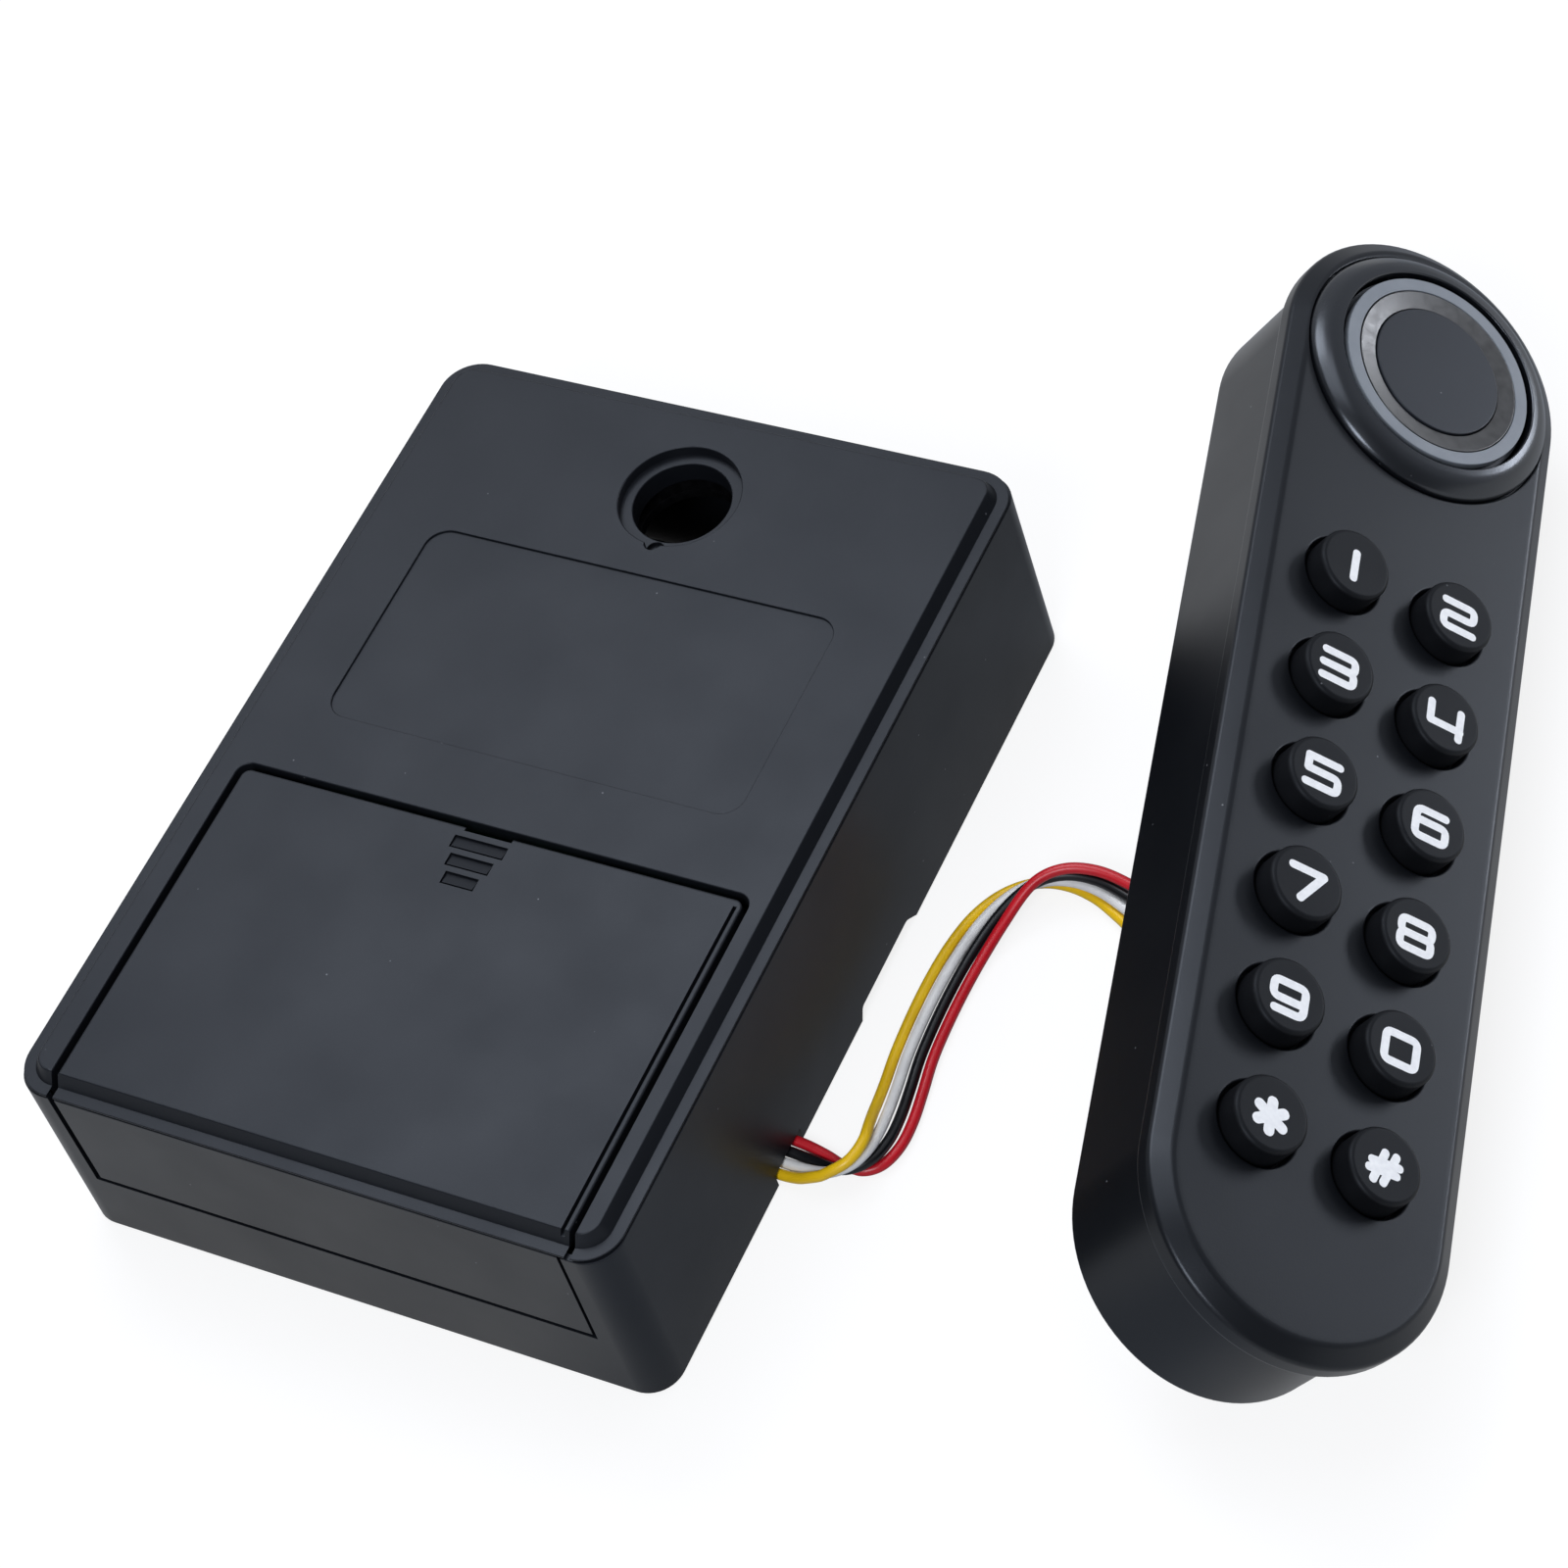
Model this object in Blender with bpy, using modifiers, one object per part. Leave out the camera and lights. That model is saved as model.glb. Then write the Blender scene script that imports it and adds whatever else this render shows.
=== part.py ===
"""Electronic cabinet lock: a battery lock case with a motor latch, wired to a keypad with a round reader.

The part stands on z = 0 with its origin under the middle of the lock case. X runs across the case, Y runs
from its battery end to its latch end, and Z points up. Sizes are in millimetres and become metres in the
meshes. The keypad is modelled flat in its own frame, u across, v along and n out of its face, and an empty
turns it into its place beside the case, tipped onto its long back edge and its two mounting posts.
"""

import math

import bmesh
import bpy
from mathutils import Matrix, Vector

METRES = 0.001
OVERRUN = 1.0
CLEARANCE = 0.3
OVERLAP = 0.4
MERGE_DISTANCE = 0.001

# Smoothness of round pieces, as counts of sides or steps
CORNER_STEPS = 4
END_STEPS = 12
FINE_SIDES = 28
ROUND_SIDES = 16
SMALL_SIDES = 8
SHARP_ANGLE = math.radians(35)

# Lock case shell
CASE_WIDTH = 80.0
CASE_LENGTH = 116.4
CASE_HEIGHT = 31.1
CASE_CORNER = 4.3
WALL = 2.2
WALL_FLARE = 1.2
LEDGE_FLARE = 0.7
STEP_FOOT_INSET = 0.8
STEP_TOP_INSET = 1.8
STEP_HEIGHT = 1.7
LEDGE_EDGE = 0.25
PARTING_GAP = 0.3
WALL_LIP = 0.9
TONGUE_INSET = 0.5
TONGUE_DEPTH = 1.7
LID_THICKNESS = 2.2
LEDGE_Z = CASE_HEIGHT - STEP_HEIGHT
LID_UNDER = CASE_HEIGHT - LID_THICKNESS
LID_LOW = LEDGE_Z - LEDGE_EDGE
TONGUE_LOW = LID_LOW - TONGUE_DEPTH
WALL_TOP = LID_LOW - PARTING_GAP
HALF_WIDTH = CASE_WIDTH / 2
HALF_LENGTH = CASE_LENGTH / 2

# Label recess in the lid
LABEL_SIDE_RIM = 11.1
LABEL_WIDTH = CASE_WIDTH - 2 * LABEL_SIDE_RIM
LABEL_LENGTH = 30.5
LABEL_Y = 15.75
LABEL_CORNER = 3.0
LABEL_DEPTH = 0.3

# Round hole that takes the strike pin
HOLE_X = 0.2
HOLE_Y = 43.9
HOLE_DIAMETER = 12.8
HOLE_RECESS_DIAMETER = 16.0
HOLE_RECESS_DEPTH = 1.4
HOLE_GUIDE_WALL = 2.2
HOLE_GUIDE_LENGTH = 2.3
POINTER_LENGTH = 1.0
POINTER_HALF_WIDTH = 1.2
POINTER_DEPTH = 0.5

# Battery cover, which wraps over the front wall and hinges at its foot
COVER_X = 0.45
COVER_SIDE_RIM = 5.15
COVER_WIDTH = CASE_WIDTH - 2 * COVER_SIDE_RIM
COVER_LEFT = COVER_X - COVER_WIDTH / 2
COVER_RIGHT = COVER_X + COVER_WIDTH / 2
COVER_LEG_RELIEF = 1.1
COVER_LEG_RIGHT = COVER_RIGHT - COVER_LEG_RELIEF
COVER_LEG_GAP = 0.5
COVER_BACK_Y = -10.0
COVER_GAP = 0.9
COVER_RIGHT_GAP = 0.75
COVER_CORNER = 1.2
COVER_SKIN = 2.1
COVER_INNER_SLOPE = 1.6
COVER_EDGE_BEVEL = 0.4
COVER_AXIS_Z = 12.4
COVER_PIN_RADIUS = 0.5
COVER_PIN_LENGTH = 1.6
COVER_PIN_CLEARANCE = 0.15
COVER_FOOT_GAP = 0.3
SIDE_GROOVE_WIDTH = 0.5
SIDE_GROOVE_DEPTH = 0.8
SIDE_GROOVE_STOP = 1.0
FINGER_NOTCH_X = 0.7
FINGER_NOTCH_WIDTH = 6.6
FINGER_NOTCH_DEPTH = 0.6
GRIP_X = 0.3
GRIP_WIDTHS = (7.4, 6.0, 4.6)
GRIP_FIRST_Y = -11.4
GRIP_PITCH = 2.55
GRIP_LENGTH = 1.8
GRIP_DEPTH = 0.4

# Screws that hold the case together, and the posts they go into
SCREW_POST_INSET = 5.8
SCREW_POST_X = HALF_WIDTH - SCREW_POST_INSET
SCREW_POST_FRONT_Y = -3.0
SCREW_POST_BACK_Y = 52.0
SCREW_POST_RADIUS = 2.6
SCREW_RADIUS = 1.0
SCREW_LENGTH = 8.0
SCREW_HEAD_RADIUS = 2.2
SCREW_HEAD_HEIGHT = 0.8
SCREW_HEAD_SUNK = 0.1
SCREW_SLOT_WIDTH = 0.6
SCREW_SLOT_DEPTH = 0.4
SCREW_HOLE_RADIUS = SCREW_RADIUS + CLEARANCE

# Base plate that closes the case from below
PLATE_THICKNESS = 1.6
PLATE_CORNER = 2.2
PLATE_LEAN_ROOM = 0.15
PLATE_SEAT_Z = PLATE_THICKNESS + CLEARANCE
FIXING_HOLE_RADIUS = 1.8
FIXING_HOLE_INSET = 10.0
FIXING_HOLE_X = HALF_WIDTH - FIXING_HOLE_INSET
FIXING_HOLE_Y = 30.0
PEG_RADIUS = 1.6

# Openings at the foot of the right wall
NOTCH_MIDDLE_Y = 3.15
NOTCH_LENGTH = 13.3
NOTCH_FRONT_RUN = 1.0
NOTCH_BACK_RUN = 2.3
NOTCH_HEIGHT = 1.9
WIRE_SLOT_HEIGHT = 2.2
WIRE_SLOT_SPARE = 0.1

# Battery bay with four cells side by side, as thick as the case's width and height leave room for
CELL_COUNT = 4
CELL_SPACE = 0.5
CELL_TOP_GAP = 2.9
TRAY_WALL = 1.0
TRAY_SIDE_GAP = 0.45
TRAY_SIDE_RIM = 9.4
TRAY_FLOOR_Z = 10.6
TRAY_TOP_DROP = 6.0
TRAY_TOP_Z = CASE_HEIGHT - COVER_SKIN - TRAY_TOP_DROP
TRAY_INNER_WIDTH = CASE_WIDTH - 2 * (TRAY_SIDE_RIM + TRAY_WALL + TRAY_SIDE_GAP)
CELL_ROOM_ACROSS = (TRAY_INNER_WIDTH - (CELL_COUNT - 1) * CELL_SPACE) / CELL_COUNT
CELL_ROOM_UP = CASE_HEIGHT - COVER_SKIN - CELL_TOP_GAP - CLEARANCE - TRAY_WALL - TRAY_FLOOR_Z
CELL_RADIUS = min(CELL_ROOM_ACROSS, CELL_ROOM_UP) / 2
CELL_PITCH = 2 * CELL_RADIUS + CELL_SPACE
CELL_LENGTH = 50.5
CELL_NUB_RADIUS = 2.7
CELL_NUB_LENGTH = 1.0
CELL_EDGE = 0.6
TRAY_BACK_Y = 1.7
TRAY_LEG = 3.0
CONTACT_SIZE = 9.0
CONTACT_THICKNESS = 0.4
SPRING_WIRE_RADIUS = 0.3
SPRING_TURN_COUNT = 3
SPRING_TURN_STEPS = 8
SPRING_FOOT_RADIUS = 3.6
SPRING_TIP_RADIUS = 2.2
SPRING_LENGTH = 3.0

# Circuit board of the case, under the battery tray
BOARD_SIDE_RIM = 12.0
BOARD_HALF_WIDTH = HALF_WIDTH - BOARD_SIDE_RIM
BOARD_FRONT_Y = -48.0
BOARD_BACK_Y = -6.0
BOARD_Z = 6.5
BOARD_THICKNESS = 1.6
BOARD_CORNER = 1.5
BOARD_PEG_INSET = 5.0
CHIP_HEIGHT = 1.5
CHIP_SIZES = ((10.0, 10.0), (6.0, 5.0), (5.0, 8.0), (4.0, 4.0))
CHIP_PLACE_SHARES = ((-0.45, 0.2), (0.15, -0.55), (0.55, 0.35), (0.1, 0.6))
CONNECTOR_LENGTH = 6.0
CONNECTOR_INSET = 3.0
CONNECTOR_INNER_X = BOARD_HALF_WIDTH - CONNECTOR_INSET
CONNECTOR_SIDE = 0.8
CONNECTOR_FOOT_Z = 0.5

# Motor latch: a slide with a keyhole, a two-step gear and a pinion
SLIDE_TRAVEL = 8.0
SLIDE_HALF_WIDTH = 8.5
SLIDE_THICKNESS = 1.6
SLIDE_TOP_GAP = 0.4
SLIDE_Z = LID_UNDER - HOLE_GUIDE_LENGTH - SLIDE_TOP_GAP - SLIDE_THICKNESS
SLIDE_MARGIN = 4.0
KEYHOLE_RADIUS = 6.7
KEYHOLE_SLOT_RADIUS = 3.2
FRAME_SHEET = 1.3
FRAME_HALF_WIDTH = 23.5
FRAME_FRONT_GAP = 0.8
GEAR_MODULE = 1.0
ADDENDUM = 0.9
DEDENDUM = 1.2
RACK_TOOTH_COUNT = 7
SMALL_GEAR_TOOTH_COUNT = 12
BIG_GEAR_TOOTH_COUNT = 18
PINION_TOOTH_COUNT = 10
GEAR_X = 1.5
GEAR_BACKLASH = 0.15
PINION_BEARING = math.radians(212.4)
TOOTH_ROOT_SHARE = 0.30
TOOTH_TIP_SHARE = 0.12
BIG_GEAR_THICKNESS = 2.2
GEAR_STEP = 2.2
BIG_GEAR_Z = SLIDE_Z - GEAR_STEP - BIG_GEAR_THICKNESS
AXLE_RADIUS = 1.5
AXLE_CLEARANCE = 0.1
AXLE_COLLAR_RADIUS = 3.5
AXLE_COLLAR_HEIGHT = 1.5
MOTOR_RADIUS = 7.75
MOTOR_NECK_RADIUS = 3.0
MOTOR_NECK_HEIGHT = 0.5
MOTOR_BORE_DEPTH = 3.0
SHAFT_RADIUS = 0.9
SWITCH_LENGTH = 10.0
SWITCH_WIDTH = 4.6
SWITCH_HEIGHT = 3.6
SWITCH_BUTTON_RADIUS = 0.8
SWITCH_BUTTON_LIFT = 0.2

# Keypad shell, in its own frame
PAD_YAW = math.radians(13.83)
PAD_TILT = math.radians(40.14)
PAD_AWAY = 60.3
PAD_X = HALF_WIDTH + PAD_AWAY
PAD_Y = 17.89
PAD_FACE_WIDTH = 38.94
PAD_FACE_LOW = -63.45
PAD_FACE_HIGH = 93.02
PAD_FACE_THICKNESS = 4.03
PAD_CHAMFER_WIDTH = 2.2
PAD_CHAMFER_DEPTH = 1.7
PAD_SKIN = 2.2
PAD_SKIRT = 3.0
PAD_DEPTH = 20.92
PAD_BASE_WIDTH = 35.8
PAD_BASE_LOW = -60.75
PAD_BASE_HIGH = 91.96
PAD_BASE_WALL = 2.0

# Keys, two columns and six rows
KEY_NAMES = ("1", "2", "3", "4", "5", "6", "7", "8", "9", "0", "star", "hash")
KEY_PITCH_ACROSS = 14.76
KEY_PITCH_DOWN = 15.19
KEY_GRID_U = -0.25
KEY_GRID_V = -0.55
KEY_RADIUS = 4.7
KEY_HEIGHT = 3.0
KEY_EDGE = 0.6
KEY_GAP = 0.4
KEY_FLANGE_WIDTH = 0.9
KEY_FLANGE_HEIGHT = 0.8
KEY_TRAVEL = 1.2
KEY_ROW_COUNT = 6

# Round reader at the top of the keypad
READER_V = 72.37
READER_PAD_RADIUS = 8.83
READER_PAD_N = 2.0
READER_RING_OUTER = 13.13
READER_RING_INNER = 11.44
READER_RING_N = 2.1
READER_FLANGE_RADIUS = 13.6
READER_FLANGE_N = 0.6
READER_BODY_RADIUS = 10.0
READER_BODY_STEP_N = -2.0
BEZEL_OUTER = 17.2
BEZEL_INNER = 13.9
BEZEL_LIP = 0.3
BEZEL_HEIGHT = 2.3
BEZEL_SEAT_DEPTH = 0.8
BEZEL_SHOULDER_SHARES = ((1.0, 0.10), (0.82, 0.46), (0.52, 0.80), (0.22, 0.96))
READER_SEAM = 0.12

# Inside the keypad
MAT_THICKNESS = 0.5
DOME_RADIUS = 2.5
DOME_HEIGHT = 0.4
PAD_BOARD_THICKNESS = 1.4
PAD_BOARD_GAP = 1.1
PAD_SCREW_POST_RADIUS = 2.6
PAD_SCREW_VS = (-52.0, 48.5)
PAD_SCREW_HEAD_RADIUS = 2.4
PAD_SCREW_HEAD_HEIGHT = 1.1
PAD_SCREW_SUNK = 0.2
PAD_SCREW_LENGTH = 9.0
PAD_BOSS_RADIUS = 4.0
PAD_BOSS_HEIGHT = 2.4
BOARD_POST_RADIUS = 2.0
BOARD_POST_U = 11.0
BOARD_POST_VS = (-48.0, 52.0)

# Mounting posts on the keypad's back
POST_VS = (-40.0, 70.0)
POST_RADIUS = 3.0
POST_SHANK_RADIUS = 1.6
POST_SHANK_LENGTH = 6.0
POST_BOSS_RADIUS = 4.5
POST_BOSS_HEIGHT = 5.0

# Flat four-wire lead from the case to the keypad
WIRE_NAMES = ("yellow", "white", "black", "red")
WIRE_RADIUS = 0.7
WIRE_PITCH = 1.6
WIRE_SPAN_STEPS = 3
WIRE_POINT_SPACING = 2.2
OUTLET_FLANGE = 1.7
OUTLET_RIM = 1.2
OUTLET_CORNER = 1.2
OUTLET_NECK = 2.2

# The lead's middle line: x from the case's right side, y, z and the lead's turn about it in degrees
LEAD_ROUTE = (
    (-8.7, -25.3, 1.6, 0),
    (-4.0, -25.3, 1.3, 0),
    (1.2, -25.4, 1.0, 0),
    (4.4, -25.7, 1.3, 15),
    (7.3, -25.9, 2.0, 42),
    (9.8, -25.1, 2.9, 72),
    (11.3, -22.9, 3.1, 105),
    (11.6, -19.8, 2.5, 135),
    (11.1, -16.2, 1.5, 158),
    (10.4, -12.2, 0.85, 173),
    (9.7, -7.4, 0.75, 180),
    (9.4, -2.0, 0.75, 180),
    (9.4, 3.4, 0.75, 180),
    (9.8, 8.4, 0.9, 184),
    (10.8, 12.9, 1.4, 195),
    (12.6, 16.7, 2.1, 215),
    (15.3, 19.4, 2.8, 240),
    (18.7, 20.7, 3.1, 264),
    (22.5, 20.7, 3.1, 285),
    (26.4, 19.6, 3.0, 305),
    (30.3, 17.9, 3.0, 324),
    (34.2, 16.0, 3.3, 340),
    (37.9, 14.5, 4.1, 351),
    (41.2, 13.8, 5.6, 358),
    (43.7, 13.8, 7.4, 360),
    (45.78, 14.31, 9.79, 360),
)

# Colour, roughness and metallic share of each finish
FINISHES = {
    "case_plastic": ((0.030, 0.032, 0.036), 0.45, 0.0),
    "pad_plastic": ((0.036, 0.038, 0.043), 0.40, 0.0),
    "key_rubber": ((0.012, 0.013, 0.015), 0.60, 0.0),
    "ring_grey": ((0.25, 0.27, 0.31), 0.35, 0.0),
    "bevel_grey": ((0.10, 0.10, 0.10), 0.35, 0.0),
    "reader_black": ((0.035, 0.037, 0.043), 0.35, 0.0),
    "steel": ((0.55, 0.55, 0.56), 0.35, 1.0),
    "board_green": ((0.02, 0.16, 0.07), 0.45, 0.0),
    "white_nylon": ((0.75, 0.74, 0.70), 0.50, 0.0),
    "cell_green": ((0.04, 0.25, 0.10), 0.35, 0.0),
    "wire_yellow": ((0.87, 0.52, 0.05), 0.40, 0.0),
    "wire_white": ((0.85, 0.85, 0.83), 0.40, 0.0),
    "wire_black": ((0.01, 0.01, 0.01), 0.40, 0.0),
    "wire_red": ((0.58, 0.01, 0.02), 0.40, 0.0),
}


def clear_scene():
    """Removes what the file holds, and makes the two collections."""
    for obj in list(bpy.data.objects):
        bpy.data.objects.remove(obj, do_unlink=True)
    for name in ("electronic_cabinet_lock", "cutters"):
        bpy.context.scene.collection.children.link(bpy.data.collections.new(name))
    bpy.data.collections["cutters"].hide_render = True


def finish(name):
    """The material of one finish, made once."""
    if name in bpy.data.materials:
        return bpy.data.materials[name]
    colour, roughness, metallic = FINISHES[name]
    material = bpy.data.materials.new(name)
    material.use_nodes = True
    shader = material.node_tree.nodes["Principled BSDF"]
    shader.inputs["Base Color"].default_value = (*colour, 1)
    shader.inputs["Roughness"].default_value = roughness
    shader.inputs["Metallic"].default_value = metallic
    return material


def add_mesh(name, mesh):
    """A new object with this mesh, which starts as a cutter."""
    obj = bpy.data.objects.new(name, mesh)
    bpy.data.collections["cutters"].objects.link(obj)
    obj.hide_render = True
    obj.display_type = "WIRE"
    return obj


def from_bmesh(name, shape):
    """The object of a bmesh given in millimetres, its faces turned outwards."""
    bmesh.ops.recalc_face_normals(shape, faces=shape.faces)
    bmesh.ops.scale(shape, vec=Vector((METRES, METRES, METRES)), verts=shape.verts)
    mesh = bpy.data.meshes.new(name)
    shape.to_mesh(mesh)
    shape.free()
    return add_mesh(name, mesh)


def carry(obj, parent):
    """Hangs an object and all of its cutters on the parent."""
    obj.parent = parent
    for modifier in obj.modifiers:
        carry(modifier.object, parent)


def keep(obj, material, origin=(0, 0, 0), parent=None):
    """Makes an object a piece of the part, with its origin at this point of its own frame."""
    offset = Vector(origin) * METRES
    obj.data.transform(Matrix.Translation(-offset))
    obj.location = offset
    carry(obj, parent)
    bpy.data.collections["cutters"].objects.unlink(obj)
    bpy.data.collections["electronic_cabinet_lock"].objects.link(obj)
    obj.hide_render = False
    obj.display_type = "TEXTURED"
    obj.data.materials.clear()
    obj.data.materials.append(finish(material))
    obj.data.shade_smooth()
    obj.data.set_sharp_from_angle(angle=SHARP_ANGLE)
    return obj


def boolean(obj, other, operation):
    """Adds one exact Boolean between two meshes."""
    modifier = obj.modifiers.new(f"{operation.lower()} {other.name}", "BOOLEAN")
    modifier.operation = operation
    modifier.object = other
    return obj


def cut(obj, *cutters):
    """Cuts each of the cutters out of the object."""
    for cutter in cutters:
        boolean(obj, cutter, "DIFFERENCE")
    return obj


def join(obj, *others):
    """Joins each of the others to the object."""
    for other in others:
        boolean(obj, other, "UNION")
    return obj


def turn_to(axis):
    """The matrix that takes a shape built along Z to one built along this axis."""
    if axis == "X":
        return Matrix(((0, 0, 1, 0), (1, 0, 0, 0), (0, 1, 0, 0), (0, 0, 0, 1)))
    if axis == "Y":
        return Matrix(((0, 1, 0, 0), (0, 0, 1, 0), (1, 0, 0, 0), (0, 0, 0, 1)))
    return Matrix.Identity(4)


def box(name, low, high):
    """A box between two corners."""
    shape = bmesh.new()
    bmesh.ops.create_cube(shape, size=1)
    low = Vector(low)
    high = Vector(high)
    bmesh.ops.scale(shape, vec=high - low, verts=shape.verts)
    bmesh.ops.translate(shape, vec=(low + high) / 2, verts=shape.verts)
    return from_bmesh(name, shape)


def cylinder(name, centre, radius, low, high, axis="Z", sides=ROUND_SIDES):
    """A cylinder along an axis, about a centre given in the plane across that axis."""
    shape = bmesh.new()
    bmesh.ops.create_cone(
        shape,
        cap_ends=True,
        segments=sides,
        radius1=radius,
        radius2=radius,
        depth=high - low,
    )
    middle = Vector((centre[0], centre[1], (low + high) / 2))
    bmesh.ops.translate(shape, vec=middle, verts=shape.verts)
    bmesh.ops.transform(shape, matrix=turn_to(axis), verts=shape.verts)
    return from_bmesh(name, shape)


def arc(centre, radius, start, end, steps):
    """Points along an arc, with both of its ends."""
    angles = [start + (end - start) * i / steps for i in range(steps + 1)]
    return [
        (centre[0] + radius * math.cos(a), centre[1] + radius * math.sin(a))
        for a in angles
    ]


def rounded_outline(low, high, radius, steps=CORNER_STEPS):
    """A rectangle with round corners, anticlockwise."""
    quarter = math.pi / 2
    centres = (
        (high[0] - radius, low[1] + radius),
        (high[0] - radius, high[1] - radius),
        (low[0] + radius, high[1] - radius),
        (low[0] + radius, low[1] + radius),
    )
    points = []
    for i, centre in enumerate(centres):
        start = (i - 1) * quarter
        points += arc(centre, radius, start, start + quarter, steps)
    return points


def stadium_outline(half_width, low, high):
    """A long outline with two round ends, anticlockwise."""
    points = arc((0, high - half_width), half_width, 0, math.pi, END_STEPS)
    points += arc((0, low + half_width), half_width, math.pi, 2 * math.pi, END_STEPS)
    return points


def plate(name, outlines, low, high, axis="Z"):
    """A flat plate from closed outlines, where an inner one is a hole."""
    curve = bpy.data.curves.new(name, "CURVE")
    curve.dimensions = "2D"
    curve.fill_mode = "BOTH"
    curve.extrude = (high - low) / 2 * METRES
    for outline in outlines:
        spline = curve.splines.new("POLY")
        spline.points.add(len(outline) - 1)
        spline.use_cyclic_u = True
        for point, (x, y) in zip(spline.points, outline):
            point.co = (x * METRES, y * METRES, 0, 1)
    obj = made_solid(bpy.data.objects.new(name, curve))
    obj.data.transform(Matrix.Translation((0, 0, (low + high) / 2 * METRES)))
    obj.data.transform(turn_to(axis))
    return obj


def made_solid(guide):
    """The closed mesh that a curve or a turned profile makes, with its seams welded. The guide is removed."""
    bpy.context.scene.collection.objects.link(guide)
    graph = bpy.context.evaluated_depsgraph_get()
    mesh = bpy.data.meshes.new_from_object(guide.evaluated_get(graph))
    name = guide.name
    bpy.data.objects.remove(guide, do_unlink=True)
    shape = bmesh.new()
    shape.from_mesh(mesh)
    bmesh.ops.remove_doubles(shape, verts=shape.verts, dist=MERGE_DISTANCE * METRES)
    bmesh.ops.recalc_face_normals(shape, faces=shape.faces)
    shape.to_mesh(mesh)
    shape.free()
    return add_mesh(name, mesh)


def tube(name, points, radius, resolution):
    """A round wire through points in millimetres."""
    curve = bpy.data.curves.new(name, "CURVE")
    curve.dimensions = "3D"
    curve.bevel_depth = radius * METRES
    curve.bevel_resolution = resolution
    curve.use_fill_caps = True
    spline = curve.splines.new("POLY")
    spline.points.add(len(points) - 1)
    for point, place in zip(spline.points, points):
        point.co = (*(Vector(place) * METRES), 1)
    return made_solid(bpy.data.objects.new(name, curve))


def loft(name, sections):
    """A solid through outlines of equal counts, each given with its height."""
    shape = bmesh.new()
    rings = [[shape.verts.new((x, y, z)) for x, y in line] for line, z in sections]
    count = len(rings[0])
    for below, above in zip(rings, rings[1:]):
        for i in range(count):
            j = (i + 1) % count
            shape.faces.new((below[i], below[j], above[j], above[i]))
    shape.faces.new(reversed(rings[0]))
    shape.faces.new(rings[-1])
    return from_bmesh(name, shape)


def turned(name, profile, sides, centre=(0, 0)):
    """A turned solid about a line along Z, from radius and height pairs that run down its outer side."""
    points = [(radius * METRES, 0, height * METRES) for radius, height in profile]
    edges = [(i, i + 1) for i in range(len(points) - 1)]
    if profile[0][0] > 0:
        edges.append((len(points) - 1, 0))
    mesh = bpy.data.meshes.new(name)
    mesh.from_pydata(points, edges, [])
    guide = bpy.data.objects.new(name, mesh)
    screw = guide.modifiers.new("turn", "SCREW")
    screw.steps = sides
    screw.render_steps = sides
    screw.use_merge_vertices = True
    screw.merge_threshold = MERGE_DISTANCE * METRES
    obj = made_solid(guide)
    obj.data.transform(Matrix.Translation(Vector((*centre, 0)) * METRES))
    return obj


def wall_lean(z):
    """How far the wall stands outside the case's nominal outline at a height."""
    return WALL_FLARE - (WALL_FLARE - LEDGE_FLARE) * z / WALL_TOP


def wall_outline(z, inset):
    """The leaning case wall's outline at a height, moved in from its outer face."""
    lean = wall_lean(z)
    x = HALF_WIDTH + lean - inset
    y = HALF_LENGTH + lean - inset
    return rounded_outline((-x, -y), (x, y), CASE_CORNER - inset)


def rim_outline(inset):
    """The case's nominal outline, moved in."""
    x = HALF_WIDTH - inset
    y = HALF_LENGTH - inset
    return rounded_outline((-x, -y), (x, y), CASE_CORNER - inset)


def hole_rim(name, radius, low, high, sides=FINE_SIDES):
    """A cylinder on the strike hole's line."""
    return cylinder(name, (HOLE_X, HOLE_Y), radius, low, high, sides=sides)


def screw_places():
    """Where the four case screws stand."""
    return [
        (x, y)
        for y in (SCREW_POST_FRONT_Y, SCREW_POST_BACK_Y)
        for x in (-SCREW_POST_X, SCREW_POST_X)
    ]


def cover_window(name, low, high):
    """The cutter for the battery cover's opening, open at the front."""
    front = -HALF_LENGTH - WALL_FLARE - COVER_CORNER - OVERRUN
    low_corner = (COVER_LEFT - COVER_GAP, front)
    high_corner = (COVER_RIGHT + COVER_RIGHT_GAP, COVER_BACK_Y + COVER_GAP)
    outline = rounded_outline(low_corner, high_corner, COVER_CORNER + COVER_RIGHT_GAP)
    return plate(name, [outline], low, high)


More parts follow.
